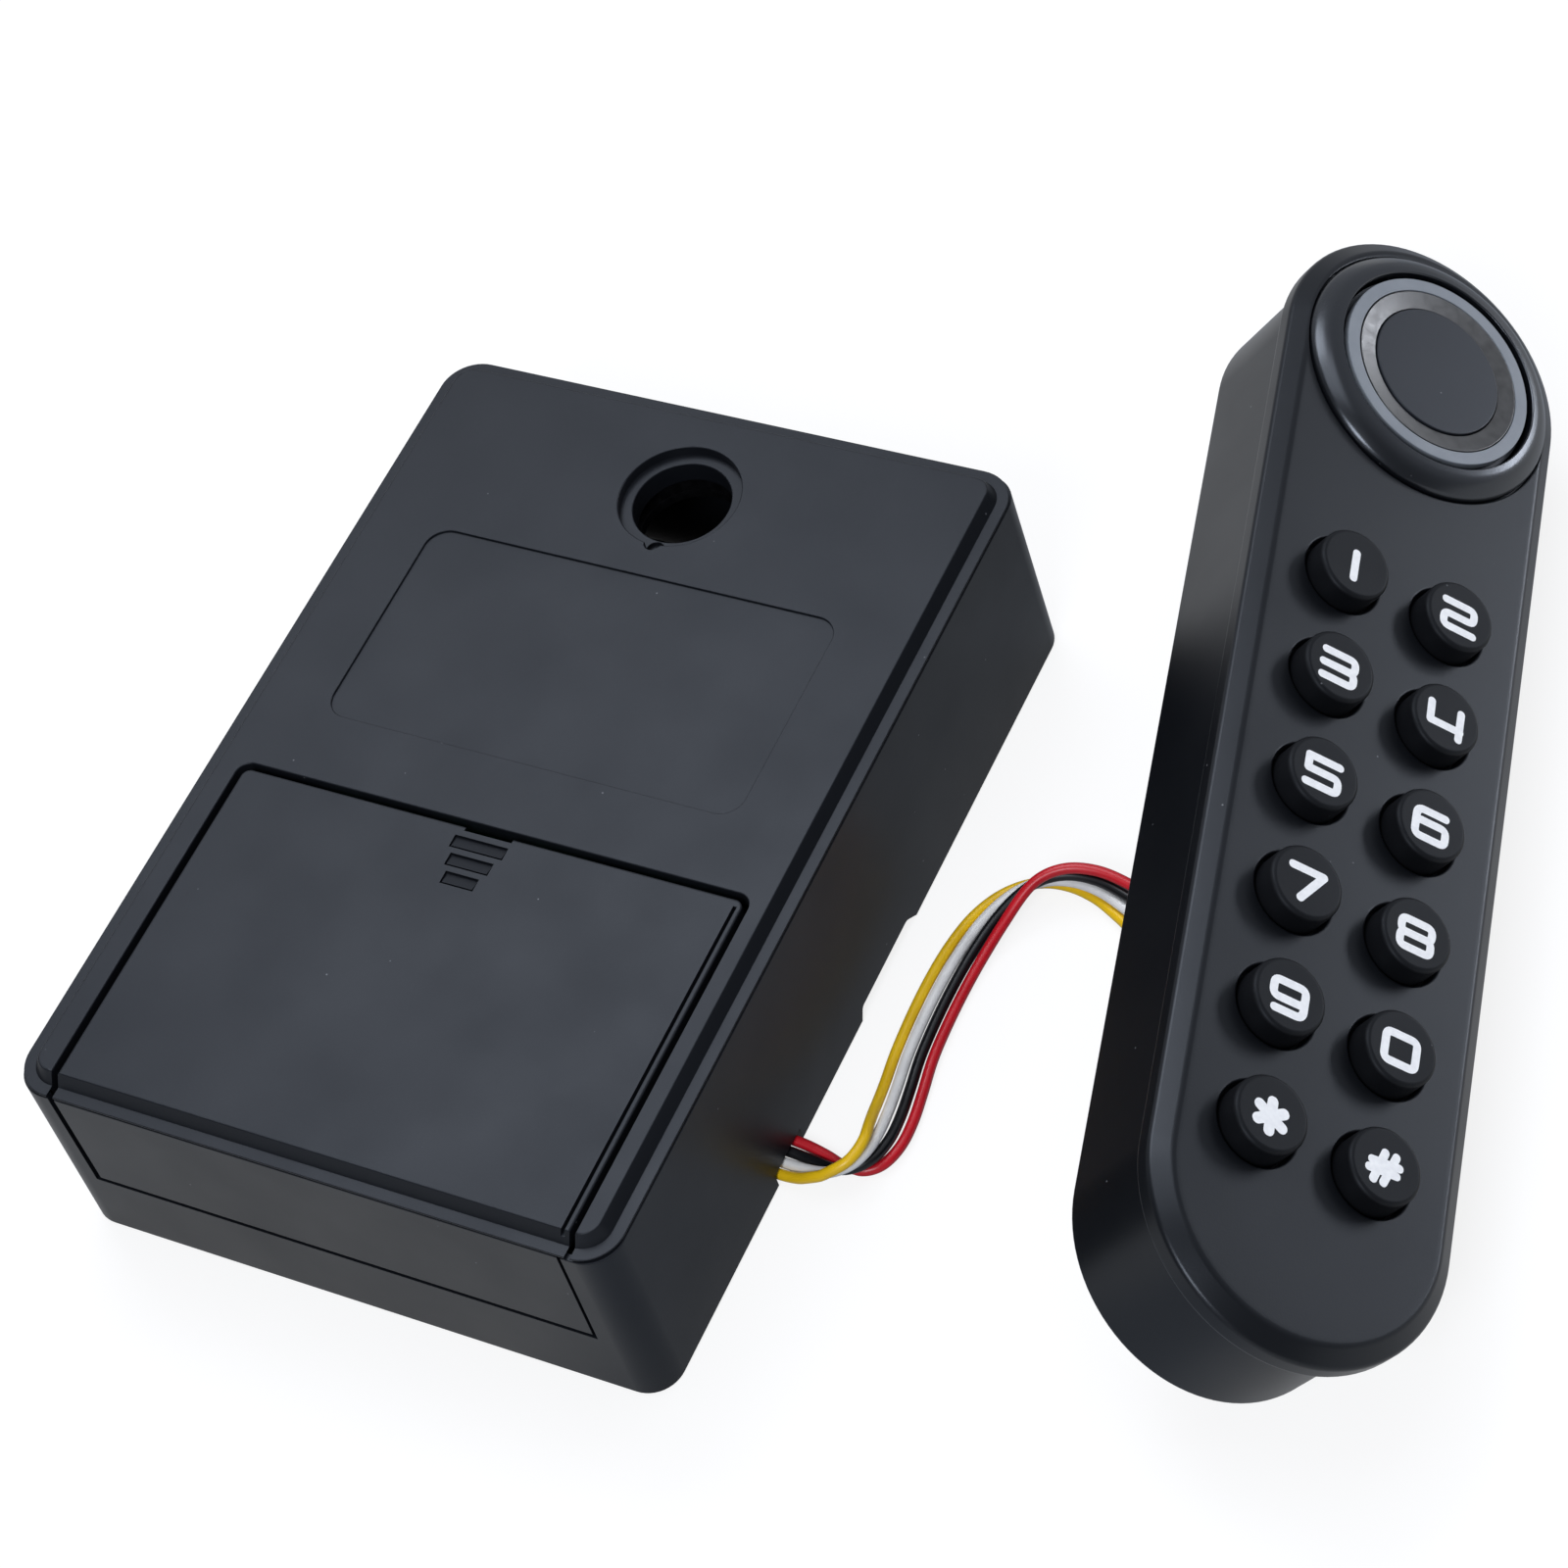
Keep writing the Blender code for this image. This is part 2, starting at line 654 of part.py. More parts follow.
def lock_top_cover():
    """The lid: a stepped plate with the cover's window, the label recess, the strike hole and four posts."""
    lid = loft(
        "lock_top_cover",
        [
            (rim_outline(TONGUE_INSET), TONGUE_LOW),
            (rim_outline(TONGUE_INSET), LID_LOW),
            (rim_outline(-LEDGE_FLARE), LID_LOW),
            (rim_outline(-LEDGE_FLARE), LEDGE_Z),
            (rim_outline(STEP_FOOT_INSET), LEDGE_Z),
            (rim_outline(STEP_TOP_INSET), CASE_HEIGHT),
        ],
    )
    cut(lid, plate("lid hollow", [rim_outline(CLEARANCE + WALL)], TONGUE_LOW - OVERRUN, LID_UNDER))
    guide_radius = HOLE_DIAMETER / 2 + HOLE_GUIDE_WALL
    guide_low = LID_UNDER - HOLE_GUIDE_LENGTH
    join(lid, hole_rim("hole guide", guide_radius, guide_low, LID_UNDER + OVERLAP))
    for number, place in enumerate(screw_places()):
        low = PLATE_SEAT_Z
        high = LID_UNDER + OVERLAP
        post = cylinder(f"lid post {number}", place, SCREW_POST_RADIUS, low, high)
        join(lid, post)
        pilot_top = PLATE_SEAT_Z + SCREW_LENGTH + CLEARANCE
        hole = (place, SCREW_HOLE_RADIUS, low - OVERRUN, pilot_top)
        cut(lid, cylinder(f"lid pilot {number}", *hole, sides=SMALL_SIDES))
    cut(lid, cover_window("lid window", TONGUE_LOW - OVERRUN, CASE_HEIGHT + OVERRUN))
    cut(lid, *strike_hole_cutters(guide_low), label_cutter())
    return keep(lid, "case_plastic")


def strike_hole_cutters(guide_low):
    """The through hole, its wide shallow recess and the small pointer beside it."""
    top = CASE_HEIGHT + OVERRUN
    through = hole_rim("hole", HOLE_DIAMETER / 2, guide_low - OVERRUN, top)
    recess_radius = HOLE_RECESS_DIAMETER / 2
    recess = hole_rim("hole recess", recess_radius, CASE_HEIGHT - HOLE_RECESS_DEPTH, top)
    root_y = HOLE_Y - recess_radius + POINTER_DEPTH
    tip_y = HOLE_Y - recess_radius - POINTER_LENGTH
    outline = [
        (HOLE_X, tip_y),
        (HOLE_X + POINTER_HALF_WIDTH, root_y),
        (HOLE_X - POINTER_HALF_WIDTH, root_y),
    ]
    pointer = plate("hole pointer", [outline], CASE_HEIGHT - POINTER_DEPTH, top)
    return through, recess, pointer


def label_cutter():
    """The shallow recess for a label."""
    x = LABEL_WIDTH / 2
    y = LABEL_LENGTH / 2
    outline = rounded_outline((-x, LABEL_Y - y), (x, LABEL_Y + y), LABEL_CORNER)
    return plate("label", [outline], CASE_HEIGHT - LABEL_DEPTH, CASE_HEIGHT + OVERRUN)


def lock_case():
    """The four leaning walls, with the cover's opening, the hinge sockets, the wire slot and the notch."""
    case = loft("lock_case", [(wall_outline(0, 0), 0), (wall_outline(WALL_TOP, 0), WALL_TOP)])
    ends = (-OVERRUN, WALL_TOP + OVERRUN)
    cut(case, loft("case hollow", [(wall_outline(z, WALL), z) for z in ends]))
    rebate = (TONGUE_LOW - CLEARANCE, WALL_TOP + OVERRUN)
    cut(case, loft("wall rebate", [(wall_outline(z, WALL_LIP), z) for z in rebate]))
    sill = cover_foot_z() - COVER_FOOT_GAP
    front = -HALF_LENGTH - WALL_FLARE - OVERRUN
    opening = box(
        "case opening",
        (COVER_LEFT - COVER_GAP, front, sill),
        (COVER_LEG_RIGHT + COVER_LEG_GAP, cover_axis_y() + WALL + OVERRUN, WALL_TOP + OVERRUN),
    )
    cut(case, opening)
    reach = COVER_PIN_LENGTH + CLEARANCE
    sockets = cylinder(
        "hinge sockets",
        (cover_axis_y(), COVER_AXIS_Z),
        COVER_PIN_RADIUS + COVER_PIN_CLEARANCE,
        COVER_LEFT - reach,
        COVER_LEG_RIGHT + reach,
        axis="X",
        sides=SMALL_SIDES,
    )
    cut(case, sockets, side_notch(), wire_slot())
    return keep(case, "case_plastic")


def cover_axis_y():
    """The hinge line lies in the middle of the front wall at its own height."""
    return -HALF_LENGTH - wall_lean(COVER_AXIS_Z) + WALL / 2


def cover_foot_z():
    """The cover's rounded foot reaches this far down round the hinge line."""
    return COVER_AXIS_Z - WALL / 2


def side_notch():
    """The long notch at the foot of the right wall."""
    front = NOTCH_MIDDLE_Y - NOTCH_LENGTH / 2
    back = NOTCH_MIDDLE_Y + NOTCH_LENGTH / 2
    outline = [
        (front - NOTCH_FRONT_RUN, -OVERRUN),
        (back + NOTCH_BACK_RUN, -OVERRUN),
        (back + NOTCH_BACK_RUN, 0),
        (back, NOTCH_HEIGHT),
        (front, NOTCH_HEIGHT),
        (front - NOTCH_FRONT_RUN, 0),
    ]
    inner = HALF_WIDTH - WALL - OVERRUN
    outer = HALF_WIDTH + WALL_FLARE + OVERRUN
    return plate("side notch", [outline], inner, outer, axis="X")


def lead_half_width():
    """Half the width of the flat lead."""
    return WIRE_PITCH * (len(WIRE_NAMES) - 1) / 2 + WIRE_RADIUS


def wire_slot():
    """The slot where the lead leaves the case."""
    y = LEAD_ROUTE[0][1]
    half = lead_half_width() + CLEARANCE + WIRE_SLOT_SPARE
    inner = HALF_WIDTH - WALL - OVERRUN
    outer = HALF_WIDTH + WALL_FLARE + OVERRUN
    return box("wire slot", (inner, y - half, -OVERRUN), (outer, y + half, WIRE_SLOT_HEIGHT))


def lock_base_plate():
    """The plate that closes the case from below, with pegs for the board and holes for every screw."""
    half_x = HALF_WIDTH + WALL_FLARE - WALL - CLEARANCE - PLATE_LEAN_ROOM
    half_y = HALF_LENGTH + WALL_FLARE - WALL - CLEARANCE - PLATE_LEAN_ROOM
    outline = rounded_outline((-half_x, -half_y), (half_x, half_y), PLATE_CORNER)
    base = plate("lock_base_plate", [outline], 0, PLATE_THICKNESS)
    for number, place in enumerate(board_peg_places()):
        low = PLATE_THICKNESS - OVERLAP
        peg = (place, PEG_RADIUS, low, BOARD_Z - CLEARANCE)
        join(base, cylinder(f"board peg {number}", *peg, sides=SMALL_SIDES))
    top = PLATE_THICKNESS + OVERRUN
    head_room = SCREW_HEAD_SUNK + SCREW_HEAD_HEIGHT + CLEARANCE
    for number, place in enumerate(screw_places()):
        bore = (place, SCREW_HOLE_RADIUS, -OVERRUN, top)
        sink = (place, SCREW_HEAD_RADIUS + CLEARANCE, -OVERRUN, head_room)
        cut(base, cylinder(f"plate bore {number}", *bore, sides=SMALL_SIDES))
        cut(base, cylinder(f"plate sink {number}", *sink))
    for number, x in enumerate((-FIXING_HOLE_X, FIXING_HOLE_X)):
        bore = ((x, FIXING_HOLE_Y), FIXING_HOLE_RADIUS, -OVERRUN, top)
        cut(base, cylinder(f"fixing hole {number}", *bore))
    cut(base, lead_channel(half_x, top))
    return keep(base, "case_plastic")


def lead_channel(edge, top):
    """The channel in the base plate for the lead and its connector."""
    y = LEAD_ROUTE[0][1]
    half = lead_half_width() + CONNECTOR_SIDE + CLEARANCE
    inner = CONNECTOR_INNER_X - CLEARANCE
    return box("lead channel", (inner, y - half, -OVERRUN), (edge + OVERRUN, y + half, top))


def board_peg_places():
    """The pegs under the case's circuit board."""
    x = BOARD_HALF_WIDTH - BOARD_PEG_INSET
    ys = (BOARD_FRONT_Y + BOARD_PEG_INSET, BOARD_BACK_Y - BOARD_PEG_INSET)
    return [(side * x, y) for y in ys for side in (-1, 1)]


def case_screws():
    """Four slotted screws that come up through the base plate into the lid's posts."""
    for number, place in enumerate(screw_places()):
        head_top = SCREW_HEAD_SUNK + SCREW_HEAD_HEIGHT
        tip = PLATE_SEAT_Z + SCREW_LENGTH
        profile = [
            (0, tip),
            (SCREW_RADIUS, tip),
            (SCREW_RADIUS, head_top),
            (SCREW_HEAD_RADIUS, head_top),
            (SCREW_HEAD_RADIUS, SCREW_HEAD_SUNK),
            (0, SCREW_HEAD_SUNK),
        ]
        screw = turned(f"case_screw_{number + 1}", profile, SMALL_SIDES, place)
        x, y = place
        wide = SCREW_HEAD_RADIUS + OVERRUN
        half = SCREW_SLOT_WIDTH / 2
        slot_top = SCREW_HEAD_SUNK + SCREW_SLOT_DEPTH
        low = (x - wide, y - half, SCREW_HEAD_SUNK - OVERRUN)
        cut(screw, box(f"screw slot {number}", low, (x + wide, y + half, slot_top)))
        keep(screw, "steel", origin=(*place, 0))


def cover_profile():
    """The cover's section: the stepped top, the ledge, the parting groove, the wall and the round foot."""
    axis = (cover_axis_y(), COVER_AXIS_Z)
    foot = arc(axis, WALL / 2, 0, -math.pi, 2 * CORNER_STEPS)
    wall_top_y = -HALF_LENGTH - LEDGE_FLARE
    groove_y = wall_top_y + PARTING_GAP
    outside = [
        (wall_top_y, WALL_TOP),
        (groove_y, WALL_TOP),
        (groove_y, LID_LOW),
        (wall_top_y, LID_LOW),
        (wall_top_y, LEDGE_Z),
        (-HALF_LENGTH + STEP_FOOT_INSET, LEDGE_Z),
        (-HALF_LENGTH + STEP_TOP_INSET, CASE_HEIGHT),
        (COVER_BACK_Y - COVER_EDGE_BEVEL, CASE_HEIGHT),
        (COVER_BACK_Y, CASE_HEIGHT - COVER_EDGE_BEVEL),
        (COVER_BACK_Y, CASE_HEIGHT - COVER_SKIN),
    ]
    inner_y = wall_top_y + WALL
    inner_z = CASE_HEIGHT - COVER_SKIN
    slope = [(inner_y + COVER_INNER_SLOPE, inner_z), (inner_y, inner_z - COVER_INNER_SLOPE)]
    return foot + outside + slope


def battery_cover():
    """The cover of the battery bay, with two short hinge pins, a finger notch and three grip marks."""
    cover = plate("battery_cover", [cover_profile()], COVER_LEFT, COVER_RIGHT, axis="X")
    cut(cover, *cover_side_cutters())
    axis = (cover_axis_y(), COVER_AXIS_Z)
    ends = (COVER_LEFT - COVER_PIN_LENGTH, COVER_LEG_RIGHT + COVER_PIN_LENGTH)
    join(cover, cylinder("hinge pins", axis, COVER_PIN_RADIUS, *ends, axis="X", sides=SMALL_SIDES))
    boolean(cover, cover_corner_trim(), "INTERSECT")
    low = (FINGER_NOTCH_X - FINGER_NOTCH_WIDTH / 2, COVER_BACK_Y - FINGER_NOTCH_DEPTH)
    high = (FINGER_NOTCH_X + FINGER_NOTCH_WIDTH / 2, COVER_BACK_Y + OVERRUN)
    bottom = CASE_HEIGHT - COVER_SKIN - OVERRUN
    cut(cover, box("finger notch", (*low, bottom), (*high, CASE_HEIGHT + OVERRUN)))
    cut(cover, *grip_cutters())
    return keep(cover, "case_plastic", origin=(0, *axis))


def cover_side_cutters():
    """The relief that makes the cover's leg narrower than its top, and the groove along its right side."""
    front = -HALF_LENGTH - WALL_FLARE - OVERRUN
    left = COVER_LEG_RIGHT
    low = cover_foot_z() - OVERRUN
    relief = box("leg relief", (left, front, low), (COVER_RIGHT + OVERRUN, COVER_BACK_Y + OVERRUN, LID_LOW))
    groove_low = (left, front, CASE_HEIGHT - SIDE_GROOVE_DEPTH)
    groove_high = (left + SIDE_GROOVE_WIDTH, COVER_BACK_Y - SIDE_GROOVE_STOP, CASE_HEIGHT + OVERRUN)
    return relief, box("side groove", groove_low, groove_high)


def cover_corner_trim():
    """A block that rounds the two back corners of the cover and holds all of the rest."""
    front = -HALF_LENGTH - WALL_FLARE - COVER_CORNER - OVERRUN
    outline = rounded_outline((COVER_LEFT, front), (COVER_RIGHT, COVER_BACK_Y), COVER_CORNER)
    wing = COVER_PIN_LENGTH + OVERRUN
    trim = plate("cover trim", [outline], COVER_AXIS_Z - WALL, CASE_HEIGHT + OVERRUN)
    y = cover_axis_y() + WALL
    low = (COVER_LEFT - wing, front, COVER_AXIS_Z - WALL)
    return join(trim, box("pin room", low, (COVER_RIGHT + wing, y, COVER_AXIS_Z + WALL)))


def grip_cutters():
    """Three shallow wedges that get narrower away from the notch, each deepest at its back edge."""
    cutters = []
    for number, width in enumerate(GRIP_WIDTHS):
        back = GRIP_FIRST_Y - number * GRIP_PITCH
        front = back - GRIP_LENGTH
        section = [
            (front, CASE_HEIGHT),
            (back, CASE_HEIGHT - GRIP_DEPTH),
            (back, CASE_HEIGHT + OVERRUN),
            (front, CASE_HEIGHT + OVERRUN),
        ]
        ends = (GRIP_X - width / 2, GRIP_X + width / 2)
        cutters.append(plate(f"grip {number}", [section], *ends, axis="X"))
    return cutters


def cell_xs():
    """The middle lines of the cells."""
    return [(i - (CELL_COUNT - 1) / 2) * CELL_PITCH for i in range(CELL_COUNT)]


def tray_inner_half_width():
    """Half the width inside the tray."""
    return CELL_PITCH * (CELL_COUNT - 1) / 2 + CELL_RADIUS + TRAY_SIDE_GAP


def bay_length():
    """The length inside the tray: cell, spring, both contacts and the gaps between them."""
    return CELL_LENGTH + SPRING_LENGTH + 2 * CONTACT_THICKNESS + 4 * CLEARANCE


def battery_tray():
    """The open tray under the cover, on four legs."""
    half = tray_inner_half_width() + TRAY_WALL
    back = TRAY_BACK_Y
    front = back - bay_length() - 2 * TRAY_WALL
    tray = box("battery_tray", (-half, front, TRAY_FLOOR_Z), (half, back, TRAY_TOP_Z))
    low = (-half + TRAY_WALL, front + TRAY_WALL, TRAY_FLOOR_Z + TRAY_WALL)
    high = (half - TRAY_WALL, back - TRAY_WALL, TRAY_TOP_Z + OVERRUN)
    cut(tray, box("tray hollow", low, high))
    places = [(x, y) for y in (front, back - TRAY_LEG) for x in (-half, half - TRAY_LEG)]
    for number, (x, y) in enumerate(places):
        top = TRAY_FLOOR_Z + OVERLAP
        leg = box(f"tray leg {number}", (x, y, PLATE_SEAT_Z), (x + TRAY_LEG, y + TRAY_LEG, top))
        join(tray, leg)
    return keep(tray, "case_plastic")


def cell_z():
    """The height of the cells' middle lines."""
    return TRAY_FLOOR_Z + TRAY_WALL + CLEARANCE + CELL_RADIUS


def battery_cells():
    """Four round cells whose ends alternate, each with its spring and its contact plate."""
    back = TRAY_BACK_Y - TRAY_WALL - CLEARANCE
    front = TRAY_BACK_Y - TRAY_WALL - bay_length() + CLEARANCE
    for number, x in enumerate(cell_xs()):
        facing = 1 if number % 2 == 0 else -1
        spring_end, contact_end = (front, back) if facing > 0 else (back, front)
        middle = Vector((x, 0, cell_z()))
        spring = contact_spring(f"cell_spring_{number + 1}")
        place_along_y(spring, middle, spring_end, facing)
        keep(spring, "steel")
        contact = contact_plate(f"cell_contact_{number + 1}")
        place_along_y(contact, middle, contact_end, -facing)
        keep(contact, "steel")
        foot = spring_end + facing * (CONTACT_THICKNESS + SPRING_LENGTH + CLEARANCE)
        cell = battery_cell(f"battery_cell_{number + 1}")
        place_along_y(cell, middle, foot, facing)
        keep(cell, "cell_green")


def place_along_y(obj, middle, y, facing):
    """Lays an object that was built up along Z from its foot along the Y axis, either way."""
    turn = Matrix.Rotation(-facing * math.pi / 2, 4, "X")
    place = Matrix.Translation(Vector((middle.x, y, middle.z)) * METRES)
    obj.data.transform(place @ turn)


def battery_cell(name):
    """One cell, standing on its flat end."""
    shoulder = CELL_LENGTH - CELL_NUB_LENGTH
    profile = [
        (0, CELL_LENGTH),
        (CELL_NUB_RADIUS, CELL_LENGTH),
        (CELL_NUB_RADIUS, shoulder),
        (CELL_RADIUS - CELL_EDGE, shoulder),
        (CELL_RADIUS, shoulder - CELL_EDGE),
        (CELL_RADIUS, CELL_EDGE),
        (CELL_RADIUS - CELL_EDGE, 0),
        (0, 0),
    ]
    return turned(name, profile, ROUND_SIDES)


def contact_plate(name):
    """A flat square contact, lying on its foot."""
    half = CONTACT_SIZE / 2
    return box(name, (-half, -half, 0), (half, half, CONTACT_THICKNESS))


def contact_spring(name):
    """A cone spring wound from one wire, on its square plate."""
    steps = SPRING_TURN_COUNT * SPRING_TURN_STEPS
    start = CONTACT_THICKNESS / 2
    rise = CONTACT_THICKNESS + SPRING_LENGTH - SPRING_WIRE_RADIUS - start
    points = []
    for i in range(steps + 1):
        share = i / steps
        radius = SPRING_FOOT_RADIUS + (SPRING_TIP_RADIUS - SPRING_FOOT_RADIUS) * share
        angle = 2 * math.pi * i / SPRING_TURN_STEPS
        height = start + rise * share
        points.append((radius * math.cos(angle), radius * math.sin(angle), height))
    coil = tube(f"{name} coil", points, SPRING_WIRE_RADIUS, 1)
    print(f"{name}: least gap between turns {turn_gap(points):.2f} mm")
    return applied(join(contact_plate(name), coil))


def turn_gap(points):
    """The least clear distance between one turn of the spring and the next."""
    turn = SPRING_TURN_STEPS
    later = [(a, b) for i, a in enumerate(points) for b in points[i + turn - 1 :]]
    return min(math.dist(a, b) for a, b in later) - 2 * SPRING_WIRE_RADIUS


def applied(obj):
    """The object with its modifiers made part of its mesh, so that it can be moved as one."""
    graph = bpy.context.evaluated_depsgraph_get()
    mesh = bpy.data.meshes.new_from_object(obj.evaluated_get(graph))
    obj.modifiers.clear()
    obj.data = mesh
    return obj


def lock_circuit_board():
    """The board under the tray, with its larger parts on top."""
    low = (-BOARD_HALF_WIDTH, BOARD_FRONT_Y)
    high = (BOARD_HALF_WIDTH, BOARD_BACK_Y)
    top = BOARD_Z + BOARD_THICKNESS
    board = plate("lock_circuit_board", [rounded_outline(low, high, BOARD_CORNER)], BOARD_Z, top)
    middle_y = (BOARD_FRONT_Y + BOARD_BACK_Y) / 2
    half_y = (BOARD_BACK_Y - BOARD_FRONT_Y) / 2
    for number, (size, share) in enumerate(zip(CHIP_SIZES, CHIP_PLACE_SHARES)):
        x = share[0] * BOARD_HALF_WIDTH
        y = middle_y + share[1] * half_y
        low = (x - size[0] / 2, y - size[1] / 2, top - OVERLAP)
        high = (x + size[0] / 2, y + size[1] / 2, top + CHIP_HEIGHT)
        join(board, box(f"chip {number}", low, high))
    return keep(board, "board_green")


def wire_connector():
    """The socket under the board's right edge that the lead plugs into."""
    y = LEAD_ROUTE[0][1]
    half = lead_half_width() + CONNECTOR_SIDE
    low = (CONNECTOR_INNER_X, y - half, CONNECTOR_FOOT_Z)
    high = (CONNECTOR_INNER_X + CONNECTOR_LENGTH, y + half, BOARD_Z - CLEARANCE)
    return keep(box("wire_connector", low, high), "white_nylon")


def gear_outline(centre, teeth, phase):
    """A gear's outline, with one tooth centred on the phase."""
    radius = teeth * GEAR_MODULE / 2
    root = radius - DEDENDUM * GEAR_MODULE
    tip = radius + ADDENDUM * GEAR_MODULE
    pitch = 2 * math.pi / teeth
    points = []
    for tooth in range(teeth):
        middle = phase + tooth * pitch
        for reach, share in (
            (root, -TOOTH_ROOT_SHARE),
            (tip, -TOOTH_TIP_SHARE),
            (tip, TOOTH_TIP_SHARE),
            (root, TOOTH_ROOT_SHARE),
        ):
            angle = middle + share * pitch
            x = centre[0] + reach * math.cos(angle)
            y = centre[1] + reach * math.sin(angle)
            points.append((x, y))
    return points


def rack_root_y():
    """The slide's front edge, where its teeth start."""
    return HOLE_Y - SLIDE_HALF_WIDTH


def gear_centre():
    """The gear's axle, set back from the rack by its pitch radius."""
    pitch_line = rack_root_y() - DEDENDUM * GEAR_MODULE
    radius = SMALL_GEAR_TOOTH_COUNT * GEAR_MODULE / 2
    return GEAR_X, pitch_line - radius - GEAR_BACKLASH / 2


def pinion_centre():
    """The motor's shaft, one centre distance away from the axle."""
    distance = (BIG_GEAR_TOOTH_COUNT + PINION_TOOTH_COUNT) * GEAR_MODULE / 2 + GEAR_BACKLASH
    x, y = gear_centre()
    return x + distance * math.cos(PINION_BEARING), y + distance * math.sin(PINION_BEARING)


def keyhole_outline():
    """The slide's keyhole: a round part for the pin's head and a slot for its neck."""
    opening = math.asin(KEYHOLE_SLOT_RADIUS / KEYHOLE_RADIUS)
    head = arc(
        (HOLE_X, HOLE_Y), KEYHOLE_RADIUS, -math.pi + opening, math.pi - opening, 2 * END_STEPS
    )
    neck = (HOLE_X - SLIDE_TRAVEL, HOLE_Y)
    quarter = math.pi / 2
    return head + arc(neck, KEYHOLE_SLOT_RADIUS, quarter, 3 * quarter, 2 * CORNER_STEPS)


def slide_ends():
    """The slide's left and right ends at rest."""
    left = HOLE_X - SLIDE_TRAVEL - KEYHOLE_SLOT_RADIUS - SLIDE_MARGIN
    return left, HOLE_X + KEYHOLE_RADIUS + SLIDE_MARGIN


def latch_slide():
    """The latch plate with its keyhole and a rack along its front edge."""
    left, right = slide_ends()
    front = rack_root_y()
    back = HOLE_Y + SLIDE_HALF_WIDTH
    pitch = math.pi * GEAR_MODULE
    reach = (ADDENDUM + DEDENDUM) * GEAR_MODULE
    teeth = []
    for tooth in range(RACK_TOOTH_COUNT):
        middle = GEAR_X + (tooth - RACK_TOOTH_COUNT // 2 - 0.5) * pitch
        teeth += [
            (middle - TOOTH_ROOT_SHARE * pitch, front),
            (middle - TOOTH_TIP_SHARE * pitch, front - reach),
            (middle + TOOTH_TIP_SHARE * pitch, front - reach),
            (middle + TOOTH_ROOT_SHARE * pitch, front),
        ]
    outline = [(left, front)] + teeth + [(right, front), (right, back), (left, back)]
    top = SLIDE_Z + SLIDE_THICKNESS
    slide = plate("latch_slide", [outline, keyhole_outline()], SLIDE_Z, top)
    return keep(slide, "steel", origin=(HOLE_X, HOLE_Y, SLIDE_Z))


def latch_frame():
    """The pressed bracket that the slide runs on: a floor with a hole, two legs and a back guide."""
    floor_top = SLIDE_Z - CLEARANCE
    floor_low = floor_top - FRAME_SHEET
    front = rack_root_y() + FRAME_FRONT_GAP
    guide = HOLE_Y + SLIDE_HALF_WIDTH + CLEARANCE
    back = guide + FRAME_SHEET
    left = HOLE_X - FRAME_HALF_WIDTH
    right = HOLE_X + FRAME_HALF_WIDTH
    frame = box("latch_frame", (left, front, floor_low), (right, back, floor_top))
    top = LID_UNDER - CLEARANCE
    join(frame, box("frame guide", (left, guide, floor_low), (right, back, top)))
    for name, low_x, high_x in (
        ("frame left leg", left, left + FRAME_SHEET),
        ("frame right leg", right - FRAME_SHEET, right),
    ):
        join(frame, box(name, (low_x, front, PLATE_SEAT_Z), (high_x, back, floor_top)))
    hole = hole_rim("frame hole", KEYHOLE_RADIUS, floor_low - OVERRUN, floor_top + OVERRUN)
    cut(frame, hole)
    return keep(frame, "steel")


def latch_gears():
    """The two-step drive gear, its axle, and the pinion on the motor's shaft."""
    centre = gear_centre()
    big_top = BIG_GEAR_Z + BIG_GEAR_THICKNESS
    bore = arc(centre, AXLE_RADIUS + AXLE_CLEARANCE, 0, 2 * math.pi, ROUND_SIDES)[:-1]
    wheel = gear_outline(centre, BIG_GEAR_TOOTH_COUNT, PINION_BEARING)
    gear = plate("drive_gear", [wheel, bore], BIG_GEAR_Z, big_top)
    small = gear_outline(centre, SMALL_GEAR_TOOTH_COUNT, math.pi / 2)
    top = SLIDE_Z + SLIDE_THICKNESS
    join(gear, plate("small gear", [small, bore], big_top - OVERLAP, top))
    keep(gear, "white_nylon", origin=(*centre, BIG_GEAR_Z))
    gear_axle(centre)
    motor_pinion(big_top)


def gear_axle(centre):
    """The steel pin between the base plate and the lid, with a collar under the gear."""
    collar_top = BIG_GEAR_Z - CLEARANCE
    collar_low = collar_top - AXLE_COLLAR_HEIGHT
    high = LID_UNDER - CLEARANCE
    profile = [
        (0, high),
        (AXLE_RADIUS, high),
        (AXLE_RADIUS, collar_top),
        (AXLE_COLLAR_RADIUS, collar_top),
        (AXLE_COLLAR_RADIUS, collar_low),
        (AXLE_RADIUS, collar_low),
        (AXLE_RADIUS, PLATE_SEAT_Z),
        (0, PLATE_SEAT_Z),
    ]
    return keep(turned("gear_axle", profile, ROUND_SIDES, centre), "steel")


def motor_pinion(big_top):
    """The pinion and the shaft that reaches down into the motor."""
    centre = pinion_centre()
    half_pitch = math.pi / PINION_TOOTH_COUNT
    outline = gear_outline(centre, PINION_TOOTH_COUNT, PINION_BEARING + math.pi + half_pitch)
    pinion = plate("motor_pinion", [outline], BIG_GEAR_Z, big_top)
    foot = motor_top() - MOTOR_BORE_DEPTH + CLEARANCE
    shaft = cylinder(
        "motor shaft", centre, SHAFT_RADIUS, foot, BIG_GEAR_Z + OVERLAP, sides=SMALL_SIDES
    )
    join(pinion, shaft)
    return keep(pinion, "steel", origin=(*centre, BIG_GEAR_Z))


def motor_top():
    """The top of the motor's neck, just under the pinion."""
    return BIG_GEAR_Z - CLEARANCE


